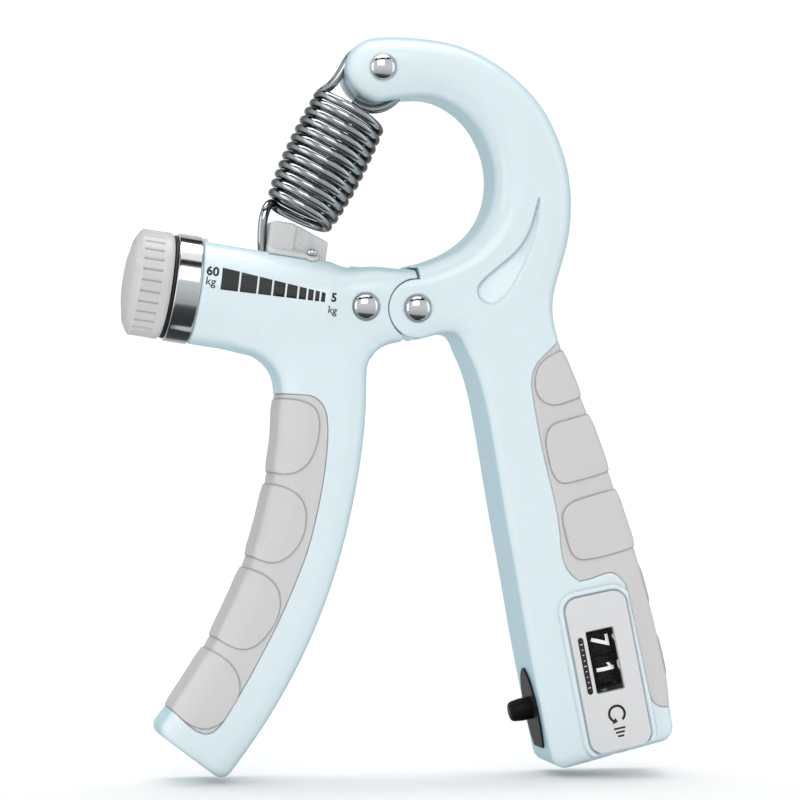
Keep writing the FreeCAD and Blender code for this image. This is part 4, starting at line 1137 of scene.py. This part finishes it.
def material(name, color, roughness, grain, vary, metallic=0.0, coat=0.0, sheen=0.0,
             specular=0.5, rough_vary=0.06, stretch=None, cavity=0.0, edge=None, rim=None,
             crease=None):
    """Procedural finish: fine grain, slow colour and roughness variation, a painted highlight on
    edges and painted shade in corners, where the surface turns away and round the pads.
    """
    made, tree, shader = node_material(name)
    coords = add_node(tree, "ShaderNodeTexCoord").outputs["Object"]
    grain_coords = coords
    if stretch:
        grain_coords = add_node(tree, "ShaderNodeMapping",
                                {0: coords, "Scale": stretch}).outputs[0]
    slow = add_node(tree, "ShaderNodeTexNoise",
                    {"Vector": coords, "Scale": 38.0, "Detail": 4.0}).outputs["Fac"]
    fine = add_node(tree, "ShaderNodeTexNoise", {
        "Vector": grain_coords, "Scale": grain[0], "Detail": 3.0}).outputs["Fac"]
    col = mix_color(tree, slow, (*[max(0, c * (1 - vary)) for c in color], 1),
                    (*[min(1, c * (1 + vary)) for c in color], 1))
    if cavity or edge:
        pointiness = add_node(tree, "ShaderNodeNewGeometry").outputs["Pointiness"]
    # cavity: painted shade, darker where the surface is hollow (low pointiness), in corners and
    # creases
    if cavity:
        shade = remap(tree, pointiness, source=(0.40, 0.49), target=(1.0 - cavity, 1.0))
        col = mix_color(tree, 1.0, col, shade, "MULTIPLY")
    # edge: painted highlight, a lighter colour on sharp outer edges (high pointiness)
    if edge:
        edge_highlight = remap(tree, pointiness, source=(0.51, 0.60), target=(0.0, edge[1]))
        col = mix_color(tree, edge_highlight, col, (*edge[0], 1))
    # rim: painted shade, a darker colour where the surface turns away from the view
    if rim:
        facing = add_node(tree, "ShaderNodeLayerWeight", {"Blend": 0.5}).outputs["Facing"]
        turned = remap(tree, facing, source=rim[1:], kind="SMOOTHSTEP")
        col = mix_color(tree, turned, col, (*rim[0], 1))
    # crease: painted shade, a dark line along the fine groove round each finger pad
    if crease:
        stored = add_node(tree, "ShaderNodeAttribute", attribute_name="crease").outputs["Fac"]
        away = add_node(tree, "ShaderNodeMath", {0: stored}, operation="ABSOLUTE").outputs[0]
        shade = remap(tree, away, source=(0.05, 0.17), target=(crease, 1.0))
        col = mix_color(tree, 1.0, col, shade, "MULTIPLY")
    rough = remap(tree, slow, target=(max(0.02, roughness - rough_vary),
                                      min(1.0, roughness + rough_vary)))
    bump = add_node(tree, "ShaderNodeBump", {
        "Strength": grain[1], "Distance": 0.0002, "Height": fine}).outputs["Normal"]
    for key, value in (("Metallic", metallic), ("Specular IOR Level", specular),
                       ("Coat Weight", coat), ("Coat Roughness", 0.08),
                       ("Sheen Weight", sheen)):
        shader.inputs[key].default_value = value
    for key, socket in (("Base Color", col), ("Roughness", rough), ("Normal", bump)):
        tree.links.new(socket, shader.inputs[key])
    return made


# grain: noise scale, bump strength      vary, rough_vary: spread of colour and roughness
# edge: colour of the painted highlight on sharp outer edges, amount   cavity: how much painted shade darkens the corners
# rim: colour of the painted shade where the surface turns away (a painted dark reflection on
# metal), and the facing values where it starts and is full
# crease: brightness of the painted shade line round each finger pad
FINISHES = {
    # handle rim: painted shade, darker blue where the shell turns away
    "handle_plastic": dict(color=(0.81, 0.93, 0.965), roughness=0.30, coat=0.35,
                           grain=(1400, 0.03), vary=0.010, edge=((0.93, 0.975, 0.985), 0.35),
                           cavity=0.30, rim=((0.30, 0.56, 0.66), 0.30, 1.02)),
    "grip_soft": dict(color=(0.71, 0.695, 0.70), roughness=0.58, grain=(3200, 0.30), vary=0.02,
                      edge=((0.80, 0.79, 0.795), 0.4), sheen=0.06, cavity=0.45, specular=0.4,
                      rim=((0.46, 0.45, 0.455), 0.35, 1.02), crease=0.62),
    "chrome": dict(color=(0.66, 0.68, 0.69), roughness=0.12, metallic=1.0, grain=(60, 0.01),
                   vary=0.02, rough_vary=0.02, stretch=(1, 1, 1)),
    # spring rim and cavity: painted shade and dark reflection along the wire's edges and between
    # turns
    "spring_chrome": dict(color=(0.44, 0.46, 0.475), roughness=0.06, metallic=1.0,
                          grain=(1500, 0.05), vary=0.05, rough_vary=0.03, cavity=0.5,
                          rim=((0.010, 0.011, 0.012), 0.30, 0.72)),
    # steel rim: painted dark reflection round the pin heads
    "steel": dict(color=(0.74, 0.74, 0.75), roughness=0.10, metallic=1.0, grain=(900, 0.05),
                  vary=0.05, rough_vary=0.04, cavity=0.3, rim=((0.05, 0.05, 0.055), 0.45, 0.85)),
    "brass": dict(color=(0.72, 0.55, 0.25), roughness=0.28, metallic=1.0, grain=(900, 0.06),
                  vary=0.05),
    "knob_plastic": dict(color=(0.66, 0.655, 0.66), roughness=0.36, coat=0.10,
                         grain=(1700, 0.06), vary=0.02, edge=((0.82, 0.82, 0.82), 0.4),
                         cavity=0.5, rim=((0.42, 0.42, 0.425), 0.4, 1.02)),
    "carriage_plastic": dict(color=(0.70, 0.70, 0.70), roughness=0.40, grain=(1500, 0.05),
                             vary=0.02, edge=((0.84, 0.84, 0.84), 0.4), cavity=0.4),
    "label_plastic": dict(color=(0.80, 0.80, 0.805), roughness=0.33, grain=(2600, 0.05),
                          vary=0.015, edge=((0.88, 0.88, 0.88), 0.4), cavity=0.3, coat=0.2),
    "lens": dict(color=(0.92, 0.95, 0.96), roughness=0.04, grain=(200, 0.004), vary=0.01,
                 rough_vary=0.01),
    "black_plastic": dict(color=(0.006, 0.006, 0.0065), roughness=0.40, specular=0.12,
                          grain=(1600, 0.05), vary=0.15, edge=((0.03, 0.03, 0.03), 0.4)),
    "wheel_black": dict(color=(0.005, 0.005, 0.0055), roughness=0.45, specular=0.10,
                        grain=(1600, 0.08), vary=0.15, edge=((0.05, 0.05, 0.05), 0.5)),
    "figure_white": dict(color=(0.95, 0.95, 0.94), roughness=0.50, grain=(1600, 0.03),
                         vary=0.01),
    "white_plastic": dict(color=(0.86, 0.87, 0.87), roughness=0.45, grain=(1600, 0.04),
                          vary=0.02),
    "black_rubber": dict(color=(0.012, 0.012, 0.012), roughness=0.55, grain=(1800, 0.2),
                         vary=0.2, edge=((0.05, 0.05, 0.05), 0.4)),
    "print_black": dict(color=(0.014, 0.014, 0.015), roughness=0.45, grain=(2000, 0.05),
                        vary=0.15),
}
MATERIALS = {name: material(name, **finish) for name, finish in FINISHES.items()}


def light_figures():
    """The window is deep and narrow, so the figures get a faint glow: painted light that makes up
    for the shade in the window.
    """
    shader = MATERIALS["figure_white"].node_tree.nodes["Principled BSDF"]
    shader.inputs["Emission Color"].default_value = (1.0, 1.0, 1.0, 1)
    shader.inputs["Emission Strength"].default_value = 0.30


def clear_lens():
    """The lens is transparent, with its own shine only where it reflects."""
    tree = MATERIALS["lens"].node_tree
    clear = add_node(tree, "ShaderNodeBsdfTransparent").outputs[0]
    shine = add_node(tree, "ShaderNodeLayerWeight", {"Blend": 0.12}).outputs["Fresnel"]
    gloss = tree.nodes["Principled BSDF"].outputs[0]
    both = add_node(tree, "ShaderNodeMixShader", {0: shine, 1: clear, 2: gloss}).outputs[0]
    tree.links.new(both, tree.nodes["Material Output"].inputs["Surface"])


def dress(obj, name):
    if not len(obj.material_slots):
        obj.data.materials.append(MATERIALS[name])
    for slot in obj.material_slots:
        slot.material = MATERIALS[name]


light_figures()
clear_lens()

# Frame pieces that are still shown; those not listed are steel
NODE_MATERIALS = {
    "barrel_ring": "chrome", "carriage": "carriage_plastic", "carry_pinion": "white_plastic",
    "counter_frame": "white_plastic", "counter_lens": "lens", "counter_plate": "label_plastic",
    "knob_cap": "knob_plastic", "lead_nut": "brass", "plunger": "black_plastic",
    "plunger_plate": "black_plastic", "plunger_spring": "spring_chrome",
    "ratchet_pawl": "white_plastic", "reset_knob": "knob_plastic", "screw_bush": "brass",
    "seal_ring": "black_rubber", "spring_roller": "white_plastic",
    "tension_spring": "spring_chrome", "scale_marks": "print_black"}
for name, obj in frame["nodes"].items():
    if not obj.hide_render:
        dress(obj, NODE_MATERIALS.get(name, "steel"))
for obj in list(bpy.context.scene.objects):
    if (obj.type == "MESH" and "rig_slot" in obj and not obj.hide_render
            and obj.name not in frame["nodes"]):
        is_figure = obj.name in ("tens_digits", "units_digits")
        dress(obj, "figure_white" if is_figure else obj["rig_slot"])
for node in WIRE_MATERIAL_NODES:
    node.inputs["Material"].default_value = MATERIALS["spring_chrome"]


# ------------------------------------------------------------------ floor, in metres
def floor_material(name, level):
    made, tree, shader = node_material(name)
    shader.inputs["Roughness"].default_value = 0.9
    noise = add_node(tree, "ShaderNodeTexNoise", {"Scale": 3.0}).outputs["Fac"]
    light = level * 1.02
    col = mix_color(tree, noise, (level, level, level, 1), (light, light, light, 1))
    tree.links.new(col, shader.inputs["Base Color"])
    return made


def build_floor():
    """Floor that sweeps up into a wall behind the product."""
    sweep_r, half_width, drop = 0.35, 1.6, 0.0004
    profile = [(-1.2, 0.0), (sweep_r, 0.0)]                 # (y, z)
    for k in range(1, 13):
        a = math.radians(7.5 * k)
        profile.append((sweep_r + sweep_r * math.sin(a), sweep_r * (1 - math.cos(a))))
    profile.append((2 * sweep_r, 1.6))
    points = [(x, y, z - drop) for y, z in profile for x in (-half_width, half_width)]
    mesh = bpy.data.meshes.new("floor")
    mesh.from_pydata(points, [], [(2 * i, 2 * i + 1, 2 * i + 3, 2 * i + 2)
                                  for i in range(len(profile) - 1)])
    for polygon in mesh.polygons:
        polygon.use_smooth = True
    floor = add_object("floor", mesh)
    mesh.materials.append(floor_material("floor_white", 0.90))
    floor.visible_glossy = False


build_floor()


# ------------------------------------------------------------------ camera, in metres
def build_camera():
    azimuth, elevation = math.radians(-11.0), math.radians(-0.6)
    distance, view_width, sensor = 0.70, 0.1753, 36.0
    shift_right, shift_up = -0.0019, -0.0197                # aim point, from the hinge
    right = Vector((math.cos(azimuth), math.sin(azimuth), 0.0))
    back = Vector((math.sin(azimuth) * math.cos(elevation),
                   -math.cos(azimuth) * math.cos(elevation), math.sin(elevation)))
    target = Vector(HINGE) / 1000.0 + right * shift_right + Vector((0, 0, 1)) * shift_up
    data = bpy.data.cameras.new("cam")
    data.sensor_fit = "AUTO"
    data.sensor_width = sensor
    data.lens = sensor * distance / view_width
    data.clip_start, data.clip_end = 0.05, 20.0
    camera = add_object("cam", data)
    camera.location = target + back * distance
    camera.rotation_euler = Matrix((right, back.cross(right), back)).transposed().to_euler()
    bpy.context.scene.camera = camera


build_camera()

# ------------------------------------------------------------------ lights
PRODUCT = (0.0, 0.0, 0.085)
LIGHTS = [  # name, place, aim, width, height (metres), watts
    ("key", (-0.10, -0.75, 0.55), PRODUCT, 0.55, 0.45, 1.75),
    ("top", (0.0, -0.05, 0.75), PRODUCT, 0.60, 0.60, 1.3),
    ("left", (-0.75, -0.15, 0.20), PRODUCT, 0.40, 0.6, 0.85),
    ("right", (0.75, -0.15, 0.20), PRODUCT, 0.35, 0.6, 0.4),
    ("wall", (0.0, 0.20, 0.95), (0.0, 0.70, 0.35), 1.2, 0.5, 5.0)]
for name, place, aim, width, height, watts in LIGHTS:
    data = bpy.data.lights.new(name, "AREA")
    data.energy = watts
    data.shape = "RECTANGLE"
    data.size, data.size_y = width, height
    light = add_object(name, data)
    light.location = place
    light.rotation_euler = (Vector(aim) - Vector(place)).to_track_quat("-Z", "Y").to_euler()

# Reflected surroundings from straight down (0) to straight up (1): position, brightness
BANDS = [(0.0, 0.06), (0.14, 0.10), (0.19, 0.22), (0.215, 0.62), (0.36, 0.80), (0.49, 0.95),
         (0.60, 1.0), (0.80, 0.92), (0.845, 0.86), (0.862, 0.02), (0.95, 0.012), (0.972, 0.02),
         (0.982, 0.8), (1.0, 0.9)]
BAND_TINT = (0.97, 1.0, 1.01)
END_TINTS = {0: (0.95, 1.0, 1.02), len(BANDS) - 1: (1.0, 1.0, 1.0)}
AMBIENT = (0.58, 0.59, 0.60, 1)          # what lights the matt surfaces
BACKDROP = (1.24, 1.26, 1.27, 1)         # what the camera sees


def build_world():
    world = bpy.data.worlds.new("studio")
    bpy.context.scene.world = world
    world.use_nodes = True
    tree = world.node_tree
    coords = add_node(tree, "ShaderNodeTexCoord").outputs["Generated"]
    height = add_node(tree, "ShaderNodeSeparateXYZ", {0: coords}).outputs[2]
    ramp = add_node(tree, "ShaderNodeValToRGB", {0: remap(tree, height, source=(-1.0, 1.0))})
    elements = ramp.color_ramp.elements                     # starts with one at each end
    for position, _ in BANDS[1:-1]:
        elements.new(position)
    for i, (_, level) in enumerate(BANDS):
        elements[i].color = (*[level * tint for tint in END_TINTS.get(i, BAND_TINT)], 1)
    rays = add_node(tree, "ShaderNodeLightPath").outputs
    lit = mix_color(tree, rays["Is Glossy Ray"], AMBIENT, ramp.outputs["Color"])
    seen = mix_color(tree, rays["Is Camera Ray"], lit, BACKDROP)
    background = tree.nodes["Background"]
    tree.links.new(seen, background.inputs["Color"])
    background.inputs["Strength"].default_value = 0.75


build_world()
bpy.context.scene.view_settings.view_transform = "Standard"
